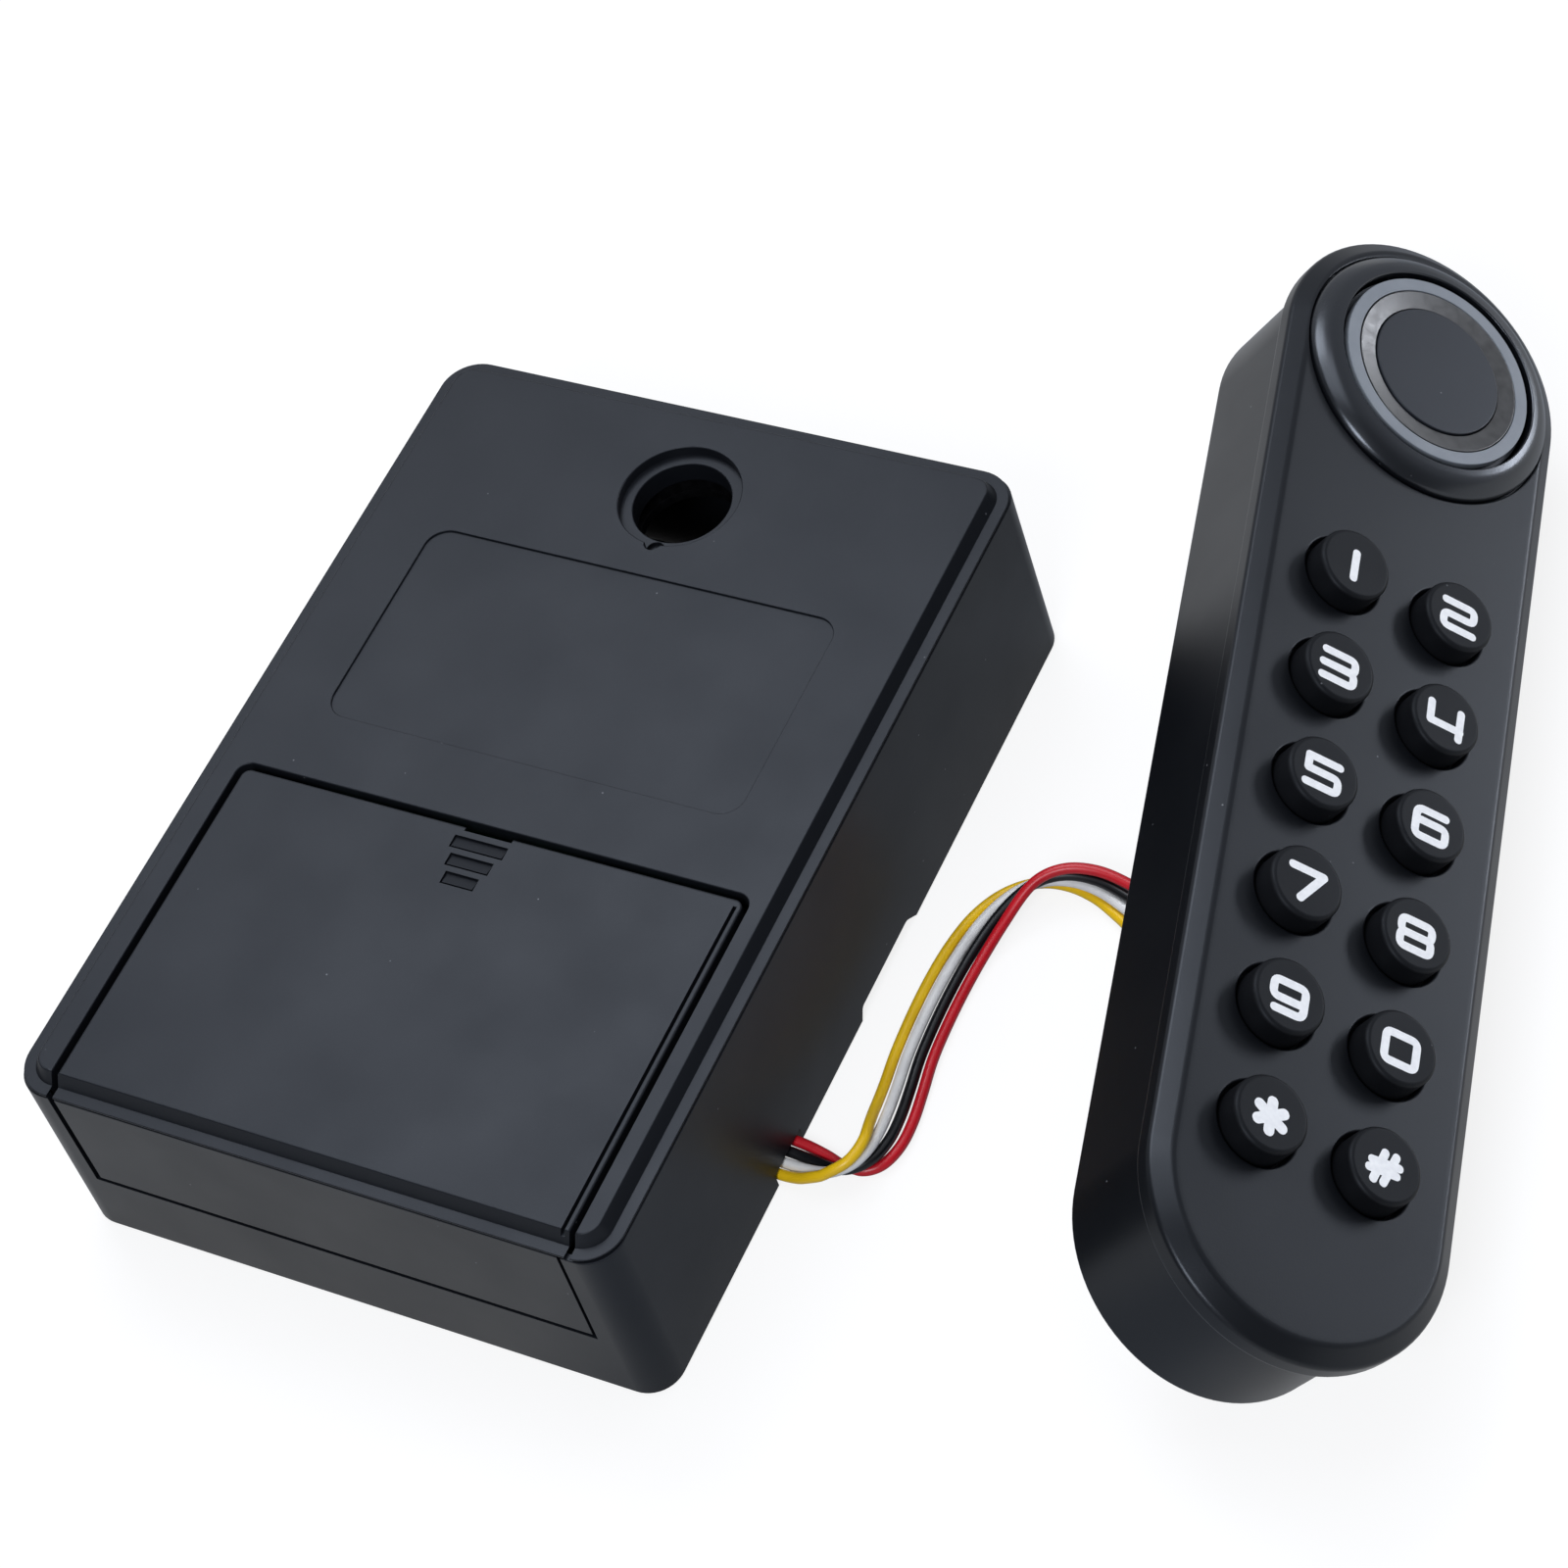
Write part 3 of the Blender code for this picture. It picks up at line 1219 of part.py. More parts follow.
def latch_motor():
    """The upright motor can, with a bored neck for its shaft."""
    neck = motor_top()
    shoulder = neck - MOTOR_NECK_HEIGHT
    bore = SHAFT_RADIUS + CLEARANCE
    floor = neck - MOTOR_BORE_DEPTH
    profile = [
        (0, floor),
        (bore, floor),
        (bore, neck),
        (MOTOR_NECK_RADIUS, neck),
        (MOTOR_NECK_RADIUS, shoulder),
        (MOTOR_RADIUS, shoulder),
        (MOTOR_RADIUS, PLATE_SEAT_Z),
        (0, PLATE_SEAT_Z),
    ]
    motor = turned("latch_motor", profile, ROUND_SIDES, pinion_centre())
    return keep(motor, "steel")


def latch_switch():
    """The small switch that feels the slide's rest end, on the frame's floor."""
    left, _ = slide_ends()
    button_tip = left - CLEARANCE
    right = button_tip - SWITCH_BUTTON_RADIUS
    low = (right - SWITCH_WIDTH, HOLE_Y - SWITCH_LENGTH / 2, SLIDE_Z)
    high = (right, HOLE_Y + SWITCH_LENGTH / 2, SLIDE_Z + SWITCH_HEIGHT)
    switch = box("latch_switch", low, high)
    z = SLIDE_Z + SWITCH_BUTTON_RADIUS + SWITCH_BUTTON_LIFT
    button = cylinder(
        "switch button",
        (HOLE_Y, z),
        SWITCH_BUTTON_RADIUS,
        right - OVERLAP,
        button_tip,
        axis="X",
        sides=SMALL_SIDES,
    )
    return keep(join(switch, button), "case_plastic")


def keypad_frame():
    """The empty that carries the keypad: turned, tipped and raised until its long back edge touches z = 0."""
    empty = bpy.data.objects.new("keypad_frame", None)
    bpy.data.collections["electronic_cabinet_lock"].objects.link(empty)
    height = PAD_BASE_WIDTH / 2 * math.sin(PAD_TILT) + PAD_DEPTH * math.cos(PAD_TILT)
    turn = Matrix.Rotation(PAD_YAW, 4, "Z") @ Matrix.Rotation(PAD_TILT, 4, "Y")
    place = Matrix.Translation(Vector((PAD_X, PAD_Y, height)) * METRES)
    empty.matrix_world = place @ turn
    return empty


def key_places():
    """Each key's name and its middle, in the order in which they are read."""
    places = []
    for number, name in enumerate(KEY_NAMES):
        row, column = divmod(number, 2)
        u = KEY_GRID_U + (column - 0.5) * KEY_PITCH_ACROSS
        v = KEY_GRID_V + ((KEY_ROW_COUNT - 1) / 2 - row) * KEY_PITCH_DOWN
        places.append((name, (u, v)))
    return places


def pad_outline(inset):
    """The face plate's outline, moved in from its edge."""
    half = PAD_FACE_WIDTH / 2 - inset
    return stadium_outline(half, PAD_FACE_LOW + inset, PAD_FACE_HIGH - inset)


def base_outline(inset):
    """The keypad base's outline, moved in from its outer wall."""
    half = PAD_BASE_WIDTH / 2 - inset
    return stadium_outline(half, PAD_BASE_LOW + inset, PAD_BASE_HIGH - inset)


def keypad_front_plate(pad):
    """The chamfered face plate with its key holes, the reader's seat, a pocket behind and two screw posts."""
    face = loft(
        "keypad_front_plate",
        [
            (pad_outline(0), -PAD_FACE_THICKNESS),
            (pad_outline(0), -PAD_CHAMFER_DEPTH),
            (pad_outline(PAD_CHAMFER_WIDTH), 0),
        ],
    )
    below = -PAD_FACE_THICKNESS - OVERRUN
    cut(face, plate("face pocket", [pad_outline(PAD_SKIRT)], below, -PAD_SKIN))
    for number, v in enumerate(PAD_SCREW_VS):
        low = boss_top() + CLEARANCE
        post = ((0, v), PAD_SCREW_POST_RADIUS, low, -PAD_SKIN + OVERLAP)
        join(face, cylinder(f"face post {number}", *post))
        pilot = ((0, v), SCREW_HOLE_RADIUS, low - OVERRUN, screw_tip_n() + CLEARANCE)
        cut(face, cylinder(f"face pilot {number}", *pilot, sides=SMALL_SIDES))
    for name, place in key_places():
        hole = (place, KEY_RADIUS + KEY_GAP, below, OVERRUN)
        cut(face, cylinder(f"key hole {name}", *hole))
    reader = (0, READER_V)
    well = (reader, READER_FLANGE_RADIUS + CLEARANCE, below, OVERRUN)
    seat = (reader, BEZEL_OUTER + CLEARANCE, -BEZEL_SEAT_DEPTH, OVERRUN)
    cut(face, cylinder("reader well", *well, sides=FINE_SIDES))
    cut(face, cylinder("bezel seat", *seat, sides=FINE_SIDES))
    return keep(face, "pad_plastic", parent=pad)


def boss_top():
    """The top of the screw bosses inside the keypad base."""
    return -PAD_DEPTH + PAD_BASE_WALL + PAD_BOSS_HEIGHT


def screw_tip_n():
    """How far up the keypad's screws reach."""
    return -PAD_DEPTH + PAD_SCREW_SUNK + PAD_SCREW_HEAD_HEIGHT + PAD_SCREW_LENGTH


def board_top_n():
    """The keypad board's upper face, far enough down for a pressed key and the mat."""
    pressed = -PAD_SKIN - CLEARANCE - KEY_FLANGE_HEIGHT - KEY_TRAVEL
    return pressed - CLEARANCE - DOME_HEIGHT - MAT_THICKNESS - CLEARANCE


def keypad_base(pad):
    """The deep open base, with bosses for the screws, the posts and the board."""
    rim = -PAD_FACE_THICKNESS - CLEARANCE
    base = plate("keypad_base", [base_outline(0)], -PAD_DEPTH, rim)
    floor = -PAD_DEPTH + PAD_BASE_WALL
    cut(base, plate("base hollow", [base_outline(PAD_BASE_WALL)], floor, rim + OVERRUN))
    foot = floor - OVERLAP
    for number, v in enumerate(PAD_SCREW_VS):
        join(base, cylinder(f"screw boss {number}", (0, v), PAD_BOSS_RADIUS, foot, boss_top()))
    for number, v in enumerate(POST_VS):
        top = floor + POST_BOSS_HEIGHT
        join(base, cylinder(f"post boss {number}", (0, v), POST_BOSS_RADIUS, foot, top))
    board_low = board_top_n() - PAD_BOARD_THICKNESS - CLEARANCE
    for number, place in enumerate(board_post_places()):
        post = (place, BOARD_POST_RADIUS, foot, board_low)
        join(base, cylinder(f"board post {number}", *post, sides=SMALL_SIDES))
    cut(base, *keypad_base_holes(floor))
    return keep(base, "pad_plastic", parent=pad)


def keypad_base_holes(floor):
    """The holes in the base: two sunk screw holes, two post sockets and the lead's outlet."""
    below = -PAD_DEPTH - OVERRUN
    head_room = -PAD_DEPTH + PAD_SCREW_SUNK + PAD_SCREW_HEAD_HEIGHT + CLEARANCE
    holes = []
    for number, v in enumerate(PAD_SCREW_VS):
        bore = ((0, v), SCREW_HOLE_RADIUS, below, boss_top() + OVERRUN)
        sink = ((0, v), PAD_SCREW_HEAD_RADIUS + CLEARANCE, below, head_room)
        holes.append(cylinder(f"base bore {number}", *bore, sides=SMALL_SIDES))
        holes.append(cylinder(f"base sink {number}", *sink))
    for number, v in enumerate(POST_VS):
        top = -PAD_DEPTH + POST_SHANK_LENGTH + CLEARANCE
        socket = ((0, v), POST_SHANK_RADIUS + CLEARANCE, below, top)
        holes.append(cylinder(f"post socket {number}", *socket, sides=SMALL_SIDES))
    half_u, half_v = outlet_neck_half()
    low = (-half_u - CLEARANCE, -half_v - CLEARANCE)
    high = (half_u + CLEARANCE, half_v + CLEARANCE)
    outline = rounded_outline(low, high, OUTLET_CORNER)
    holes.append(plate("outlet hole", [outline], below, floor + OVERRUN))
    return holes


def board_post_places():
    """The posts under the keypad's board."""
    return [(side * BOARD_POST_U, v) for v in BOARD_POST_VS for side in (-1, 1)]


def outlet_neck_half():
    """Half the size of the outlet's neck, which holds the flat lead."""
    half_v = lead_half_width()
    return WIRE_RADIUS + OUTLET_RIM, half_v + OUTLET_RIM


def cable_outlet(pad):
    """The rubber outlet on the keypad's back: a flange outside and a neck through the base."""
    half_u, half_v = outlet_neck_half()
    neck_line = rounded_outline((-half_u, -half_v), (half_u, half_v), OUTLET_CORNER)
    u = half_u + OUTLET_RIM
    v = half_v + OUTLET_RIM
    flange_line = rounded_outline((-u, -v), (u, v), OUTLET_CORNER + OUTLET_RIM)
    top = -PAD_DEPTH - CLEARANCE
    outlet = plate("cable_outlet", [flange_line], top - OUTLET_FLANGE, top)
    join(outlet, plate("outlet neck", [neck_line], top - OVERLAP, top + OUTLET_NECK))
    return keep(outlet, "key_rubber", parent=pad)


def sensor_parts(pad):
    """The reader: bezel, light ring, inner bevel ring and the touch pad on its body."""
    centre = (0, READER_V)
    seat = -BEZEL_SEAT_DEPTH + CLEARANCE
    span = BEZEL_OUTER - BEZEL_INNER
    shoulder = [
        (BEZEL_INNER + span * along, BEZEL_HEIGHT * up) for along, up in reversed(BEZEL_SHOULDER_SHARES)
    ]
    profile = [(BEZEL_INNER + BEZEL_LIP / 2, BEZEL_HEIGHT)] + shoulder
    profile += [(BEZEL_OUTER, seat), (BEZEL_INNER, seat), (BEZEL_INNER, BEZEL_HEIGHT - BEZEL_LIP / 2)]
    keep(turned("sensor_bezel", profile, FINE_SIDES, centre), "pad_plastic", parent=pad)
    shelf = READER_FLANGE_N + CLEARANCE
    ring = ring_profile(READER_RING_INNER, READER_RING_OUTER, READER_RING_N, READER_RING_N, shelf)
    keep(turned("sensor_ring", ring, FINE_SIDES, centre), "ring_grey", parent=pad)
    inner = READER_PAD_RADIUS + READER_SEAM
    outer = READER_RING_INNER - READER_SEAM
    bevel = ring_profile(inner, outer, READER_PAD_N, READER_RING_N, shelf)
    keep(turned("sensor_inner_ring", bevel, FINE_SIDES, centre), "bevel_grey", parent=pad)
    body_low = board_top_n() + CLEARANCE
    profile = [
        (0, READER_PAD_N),
        (READER_PAD_RADIUS, READER_PAD_N),
        (READER_PAD_RADIUS, READER_FLANGE_N),
        (READER_FLANGE_RADIUS, READER_FLANGE_N),
        (READER_FLANGE_RADIUS, READER_BODY_STEP_N),
        (READER_BODY_RADIUS, READER_BODY_STEP_N),
        (READER_BODY_RADIUS, body_low),
        (0, body_low),
    ]
    keep(turned("fingerprint_pad", profile, FINE_SIDES, centre), "reader_black", parent=pad)


def ring_profile(inner, outer, inner_top, outer_top, low):
    """A ring's section, its upper face level or sloping."""
    return [(inner, inner_top), (outer, outer_top), (outer, low), (inner, low)]


def keys(pad):
    """Twelve round rubber keys, each held under the face plate by a flange."""
    flange_top = -PAD_SKIN - CLEARANCE
    flange_low = flange_top - KEY_FLANGE_HEIGHT
    flange = KEY_RADIUS + KEY_FLANGE_WIDTH
    profile = [(0, KEY_HEIGHT)]
    profile += [
        (KEY_RADIUS - KEY_EDGE + x, KEY_HEIGHT - KEY_EDGE + y)
        for x, y in arc((0, 0), KEY_EDGE, math.pi / 2, 0, 2)
    ]
    profile += [
        (KEY_RADIUS, flange_top),
        (flange, flange_top),
        (flange, flange_low),
        (0, flange_low),
    ]
    for name, place in key_places():
        key = turned(f"key_{name}", profile, ROUND_SIDES, place)
        keep(key, "key_rubber", origin=(*place, 0), parent=pad)


def mat_outline():
    """Half the width and the lower end of the outline that the mat and the keypad's board share."""
    inset = PAD_BASE_WALL + PAD_BOARD_GAP
    return PAD_BASE_WIDTH / 2 - inset, PAD_BASE_LOW + inset


def key_mat(pad):
    """The rubber mat over the board, with a dome under each key."""
    half, low_v = mat_outline()
    low = board_top_n() + CLEARANCE
    top = low + MAT_THICKNESS
    high_v = READER_V - READER_FLANGE_RADIUS - CLEARANCE
    outlines = [stadium_outline(half, low_v, high_v)] + screw_clearance_holes()
    mat = plate("key_mat", outlines, low, top)
    for name, place in key_places():
        dome = (place, DOME_RADIUS, top - MAT_THICKNESS / 2, top + DOME_HEIGHT)
        join(mat, cylinder(f"dome {name}", *dome, sides=SMALL_SIDES))
    return keep(mat, "key_rubber", parent=pad)


def screw_clearance_holes():
    """Holes round the two screw posts."""
    radius = PAD_SCREW_POST_RADIUS + CLEARANCE
    return [arc((0, v), radius, 2 * math.pi, 0, ROUND_SIDES)[:-1] for v in PAD_SCREW_VS]


def keypad_circuit_board(pad):
    """The long board under the mat and the reader."""
    half, low_v = mat_outline()
    top = board_top_n()
    high_v = PAD_BASE_HIGH - PAD_BASE_WALL - PAD_BOARD_GAP
    outlines = [stadium_outline(half, low_v, high_v)] + screw_clearance_holes()
    board = plate("keypad_circuit_board", outlines, top - PAD_BOARD_THICKNESS, top)
    return keep(board, "board_green", parent=pad)


def keypad_screws(pad):
    """Two screws that come in from the back and hold the face plate to the base."""
    for number, v in enumerate(PAD_SCREW_VS):
        head_low = -PAD_DEPTH + PAD_SCREW_SUNK
        head_top = head_low + PAD_SCREW_HEAD_HEIGHT
        profile = [
            (0, screw_tip_n()),
            (SCREW_RADIUS, screw_tip_n()),
            (SCREW_RADIUS, head_top),
            (PAD_SCREW_HEAD_RADIUS, head_top),
            (PAD_SCREW_HEAD_RADIUS, head_low),
            (0, head_low),
        ]
        screw = turned(f"keypad_screw_{number + 1}", profile, SMALL_SIDES, (0, v))
        wide = PAD_SCREW_HEAD_RADIUS + OVERRUN
        half = SCREW_SLOT_WIDTH / 2
        low = (-wide, v - half, head_low - OVERRUN)
        high = (wide, v + half, head_low + SCREW_SLOT_DEPTH)
        keep(cut(screw, box(f"pad screw slot {number}", low, high)), "steel", parent=pad)


def mounting_posts(pad):
    """Two posts on the back, just long enough for the keypad to stand on them and on its long edge."""
    top = -PAD_DEPTH - CLEARANCE
    height = PAD_BASE_WIDTH / 2 * math.sin(PAD_TILT) + PAD_DEPTH * math.cos(PAD_TILT)
    low = -(height - POST_RADIUS * math.sin(PAD_TILT)) / math.cos(PAD_TILT)
    for number, v in enumerate(POST_VS):
        shank_top = -PAD_DEPTH + POST_SHANK_LENGTH
        profile = [
            (0, shank_top),
            (POST_SHANK_RADIUS, shank_top),
            (POST_SHANK_RADIUS, top),
            (POST_RADIUS, top),
            (POST_RADIUS, low),
            (0, low),
        ]
        post = turned(f"mounting_post_{number + 1}", profile, ROUND_SIDES, (0, v))
        keep(post, "steel", parent=pad)


def smooth_route():
    """The lead's route read off a smooth curve through its own points."""
    points = [Vector((HALF_WIDTH + x, y, z, turn)) for x, y, z, turn in LEAD_ROUTE]
    route = []
    for i in range(len(points) - 1):
        before = points[max(i - 1, 0)]
        after = points[min(i + 2, len(points) - 1)]
        here = points[i]
        there = points[i + 1]
        for step in range(WIRE_SPAN_STEPS):
            t = step / WIRE_SPAN_STEPS
            slope_in = (there - before) / 2
            slope_out = (after - here) / 2
            blend = 3 * t * t - 2 * t * t * t
            place = here * (1 - blend) + there * blend
            place += slope_in * (t * (1 - t) * (1 - t)) - slope_out * (t * t * (1 - t))
            route.append(place)
    route.append(points[-1])
    return route


def wire_points(index):
    """One wire's own line: its place across the flat lead, which turns about the middle line."""
    route = smooth_route()
    across = ((len(WIRE_NAMES) - 1) / 2 - index) * WIRE_PITCH
    up = Vector((0, 0, 1))
    points = []
    for i, place in enumerate(route):
        ahead = route[min(i + 1, len(route) - 1)].to_3d()
        behind = route[max(i - 1, 0)].to_3d()
        along = (ahead - behind).normalized()
        right = along.cross(up).normalized()
        over = right.cross(along)
        angle = math.radians(place[3])
        side = right * math.cos(angle) + over * math.sin(angle)
        points.append(place.to_3d() + side * across)
    return points


def spaced(points, spacing):
    """The points of a line thinned out to about one spacing apart, with both ends kept."""
    kept = [points[0]]
    for point in points[1:-1]:
        far_enough = (point - kept[-1]).length >= spacing
        if far_enough and (point - points[-1]).length >= spacing:
            kept.append(point)
    return kept + [points[-1]]


def lead_wires():
    """The four insulated wires of the lead."""
    for index, colour in enumerate(WIRE_NAMES):
        points = spaced(wire_points(index), WIRE_POINT_SPACING)
        wire = tube(f"wire_{colour}", points, WIRE_RADIUS, 2)
        keep(wire, f"wire_{colour}")


def build():
    """Builds the lock case, the keypad and the lead between them."""
    clear_scene()
    lock_top_cover()
    lock_case()
    lock_base_plate()
    case_screws()
    battery_cover()
    battery_tray()
    battery_cells()
    lock_circuit_board()
    wire_connector()
    latch_slide()
    latch_frame()
    latch_gears()
    latch_motor()
    latch_switch()
    pad = keypad_frame()
    keypad_front_plate(pad)
    keypad_base(pad)
    sensor_parts(pad)
    keys(pad)
    key_mat(pad)
    keypad_circuit_board(pad)
    keypad_screws(pad)
    mounting_posts(pad)
    cable_outlet(pad)
    lead_wires()


build()
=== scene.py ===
"""The looks of the electronic cabinet lock: smooth shells, soft edges, printed keys, wires and light.

Every shape is made here in millimetres and set in place in metres. The lock case is drawn straight in the
part's own frame. The keypad is drawn flat, u across, v along and n out of its face, and PAD_PLACE turns it
into its place.
"""

import math

import bmesh
import bpy
from mathutils import Matrix, Vector

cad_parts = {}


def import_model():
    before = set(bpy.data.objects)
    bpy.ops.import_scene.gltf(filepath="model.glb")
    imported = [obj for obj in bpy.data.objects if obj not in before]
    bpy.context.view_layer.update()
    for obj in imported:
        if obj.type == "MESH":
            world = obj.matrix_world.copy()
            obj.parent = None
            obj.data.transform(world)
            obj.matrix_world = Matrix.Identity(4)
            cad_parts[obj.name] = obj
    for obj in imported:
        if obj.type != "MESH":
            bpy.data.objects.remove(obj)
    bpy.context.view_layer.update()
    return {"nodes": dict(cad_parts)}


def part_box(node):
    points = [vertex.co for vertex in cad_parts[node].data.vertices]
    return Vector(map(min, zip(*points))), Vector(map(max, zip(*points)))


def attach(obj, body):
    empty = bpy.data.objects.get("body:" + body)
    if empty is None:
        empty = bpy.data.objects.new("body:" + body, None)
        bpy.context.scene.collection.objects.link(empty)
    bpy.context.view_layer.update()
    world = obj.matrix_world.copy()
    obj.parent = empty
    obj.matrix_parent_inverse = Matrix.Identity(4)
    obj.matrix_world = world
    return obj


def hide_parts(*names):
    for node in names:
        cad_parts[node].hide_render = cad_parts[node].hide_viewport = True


METRES = 0.001
OVERRUN = 1.0
CLEARANCE = 0.3
OVERLAP = 0.4
MERGE_DISTANCE = 0.001
SMOOTH_ANGLE = math.radians(32)
HOUSING = "case_and_keypad"

# Smoothness, as counts of steps or sides
CORNER_STEPS = 12
END_STEPS = 48
ROUND_SIDES = 72
SMALL_SIDES = 32
SOFT_STEPS = 4
GLYPH_TURN_STEPS = 6
WIRE_SPAN_STEPS = 10
WIRE_SIDES = 7

# The most of a line's side that one soft bend may take, and how much a flared cutter's lip rises
BEND_LIMIT = 0.45
LIP_RISE = 0.02

# Camera
CAMERA_PLACE = (0.24177, -0.23475, 0.42978)
CAMERA_RIGHT = (0.88416, 0.4164, -0.21184)
CAMERA_UP = (-0.22478, 0.77666, 0.58844)
CAMERA_BACK = (0.40956, -0.47266, 0.78029)
LENS = 99.24
SENSOR = 36.0
CLIP = (0.01, 20)
PICTURE_SIDE = 1600

# Lock case
HALF_WIDTH = 40.0
HALF_LENGTH = 58.2
CASE_HEIGHT = 31.1
CASE_CORNER = 4.3
WALL = 2.2
WALL_FLARE = 1.2
LEDGE_FLARE = 0.7
STEP_FOOT_INSET = 0.8
STEP_TOP_INSET = 1.8
STEP_HEIGHT = 1.7
STEP_TOP_CORNER = 2.2
STEP_SOFT = 0.12
LEDGE_EDGE = 0.25
LEDGE_SOFT = 0.12
PARTING_GAP = 0.3
WALL_LIP = 0.9
TONGUE_INSET = 0.5
TONGUE_DEPTH = 1.7
LID_UNDER = 28.9
LEDGE_Z = CASE_HEIGHT - STEP_HEIGHT
LID_LOW = LEDGE_Z - LEDGE_EDGE
TONGUE_LOW = LID_LOW - TONGUE_DEPTH
WALL_TOP = LID_LOW - PARTING_GAP
EDGE_SOFT = 0.15
ABOVE = CASE_HEIGHT + OVERRUN
BEFORE = -HALF_LENGTH - WALL_FLARE - OVERRUN
BESIDE = HALF_WIDTH + WALL_FLARE + OVERRUN
INSIDE = HALF_WIDTH - WALL - OVERRUN

# Lid features
LABEL_HALF = (28.9, 15.25)
LABEL_Y = 15.75
LABEL_CORNER = 3.0
LABEL_DEPTH = 0.3
LABEL_SOFT = 0.12
HOLE = (0.2, 43.9)
HOLE_RADIUS = 6.4
HOLE_RECESS_RADIUS = 8.0
HOLE_RECESS_DEPTH = 1.4
HOLE_SOFT = 0.2
HOLE_GUIDE_WALL = 2.2
HOLE_GUIDE_LENGTH = 2.3
POINTER_LENGTH = 1.0
POINTER_HALF_WIDTH = 1.2
POINTER_DEPTH = 2.0
SCREW_POST_X = 34.2
SCREW_POST_YS = (-3.0, 52.0)
SCREW_POST_RADIUS = 2.6
SCREW_HOLE_RADIUS = 1.3
PLATE_SEAT_Z = 1.9
SCREW_HOLE_TOP = 10.2

# Battery cover
COVER_LEFT = -34.4
COVER_RIGHT = 35.3
COVER_LEG_RIGHT = 34.2
COVER_LEG_GAP = 0.5
COVER_BACK_Y = -10.0
COVER_GAP = 0.9
COVER_RIGHT_GAP = 0.75
COVER_CORNER = 1.2
COVER_FOOT_CORNER = 0.6
COVER_SKIN = 2.1
COVER_INNER_SLOPE = 1.6
COVER_UNDER = CASE_HEIGHT - COVER_SKIN
COVER_SOFT = 0.3
COVER_AXIS_Z = 12.4
COVER_PIN_RADIUS = 0.5
COVER_PIN_LENGTH = 1.6
COVER_PIN_CLEARANCE = 0.15
COVER_FOOT_GAP = 0.3
WINDOW_SOFT = 0.2
SIDE_GROOVE_WIDTH = 0.5
SIDE_GROOVE_DEPTH = 0.8
SIDE_GROOVE_STOP = 1.0
FINGER_NOTCH_X = 0.7
FINGER_NOTCH_WIDTH = 6.6
FINGER_NOTCH_DEPTH = 0.6
GRIP_X = 0.3
GRIP_WIDTHS = (7.4, 6.0, 4.6)
GRIP_FIRST_Y = -11.4
GRIP_PITCH = 2.55
GRIP_LENGTH = 1.8
GRIP_DEPTH = 0.4
GRIP_LINE = 0.22
CELL_COUNT = 4
CELL_NUB_RADIUS = 2.7
CELL_NUB_LENGTH = 1.0
CELL_SOFT = 0.6

# Openings at the foot of the right wall
NOTCH_MIDDLE_Y = 3.15
NOTCH_LENGTH = 13.3
NOTCH_FRONT_RUN = 1.0
NOTCH_BACK_RUN = 2.3
NOTCH_HEIGHT = 1.9
NOTCH_SOFT = 0.5
SLOT_Y = -25.3
SLOT_HALF = 3.5
SLOT_HEIGHT = 2.2

# Keypad
PAD_YAW = math.radians(13.83)
PAD_TILT = math.radians(40.14)
PAD_X = 100.3
PAD_Y = 17.89
PAD_HALF = 19.47
PAD_LOW = -63.45
PAD_HIGH = 93.02
PAD_THICKNESS = 4.03
PAD_CHAMFER_WIDTH = 2.2
PAD_CHAMFER_DEPTH = 1.7
PAD_SOFT = 0.45
PAD_SKIN = 2.2
PAD_SKIRT = 3.0
BASE_DEPTH = 20.92
BASE_HALF = 17.9
BASE_LOW = -60.75
BASE_HIGH = 91.96
BASE_WALL = 2.0
BASE_SOFT = 0.5
SCREW_VS = (-52.0, 48.5)
SCREW_BOSS_RADIUS = 4.0
SCREW_BOSS_TOP = -16.52
FACE_POST_RADIUS = 2.6
FACE_POST_LOW = -16.22
FACE_PILOT_TOP = -10.32
SCREW_SINK_RADIUS = 2.7
SCREW_SINK_TOP = -19.32
POST_VS = (-40.0, 70.0)
POST_BOSS_RADIUS = 4.5
POST_BOSS_TOP = -13.92
POST_SOCKET_RADIUS = 1.9
POST_SOCKET_TOP = -14.62
BOARD_POST_U = 11.0
BOARD_POST_VS = (-48.0, 52.0)
BOARD_POST_RADIUS = 2.0
BOARD_POST_TOP = -9.4
OUTLET_HOLE_HALF = (2.2, 4.6)
OUTLET_CORNER = 1.2

# Keys
KEY_NAMES = ("1", "2", "3", "4", "5", "6", "7", "8", "9", "0", "star", "hash")
KEY_PITCH_ACROSS = 14.76
KEY_PITCH_DOWN = 15.19
KEY_GRID = (-0.25, -0.55)
KEY_RADIUS = 4.7
KEY_HEIGHT = 3.0
KEY_EDGE = 0.6
KEY_HOLE_RADIUS = 5.1
KEY_HOLE_SOFT = 0.35
KEY_FLANGE_TOP = -2.5
KEY_FLANGE_LOW = -3.3
KEY_FLANGE_RADIUS = 5.6
KEY_ROW_COUNT = 6

# Printed glyphs, all drawn about their own middle
GLYPH_SHIFT = (-0.2, -0.45)
GLYPH_LIFT = 0.02
GLYPH_SINK = 0.03
GLYPH_STROKE = 1.04
STAR_STROKE = 1.35
STAR_REACH = 1.8

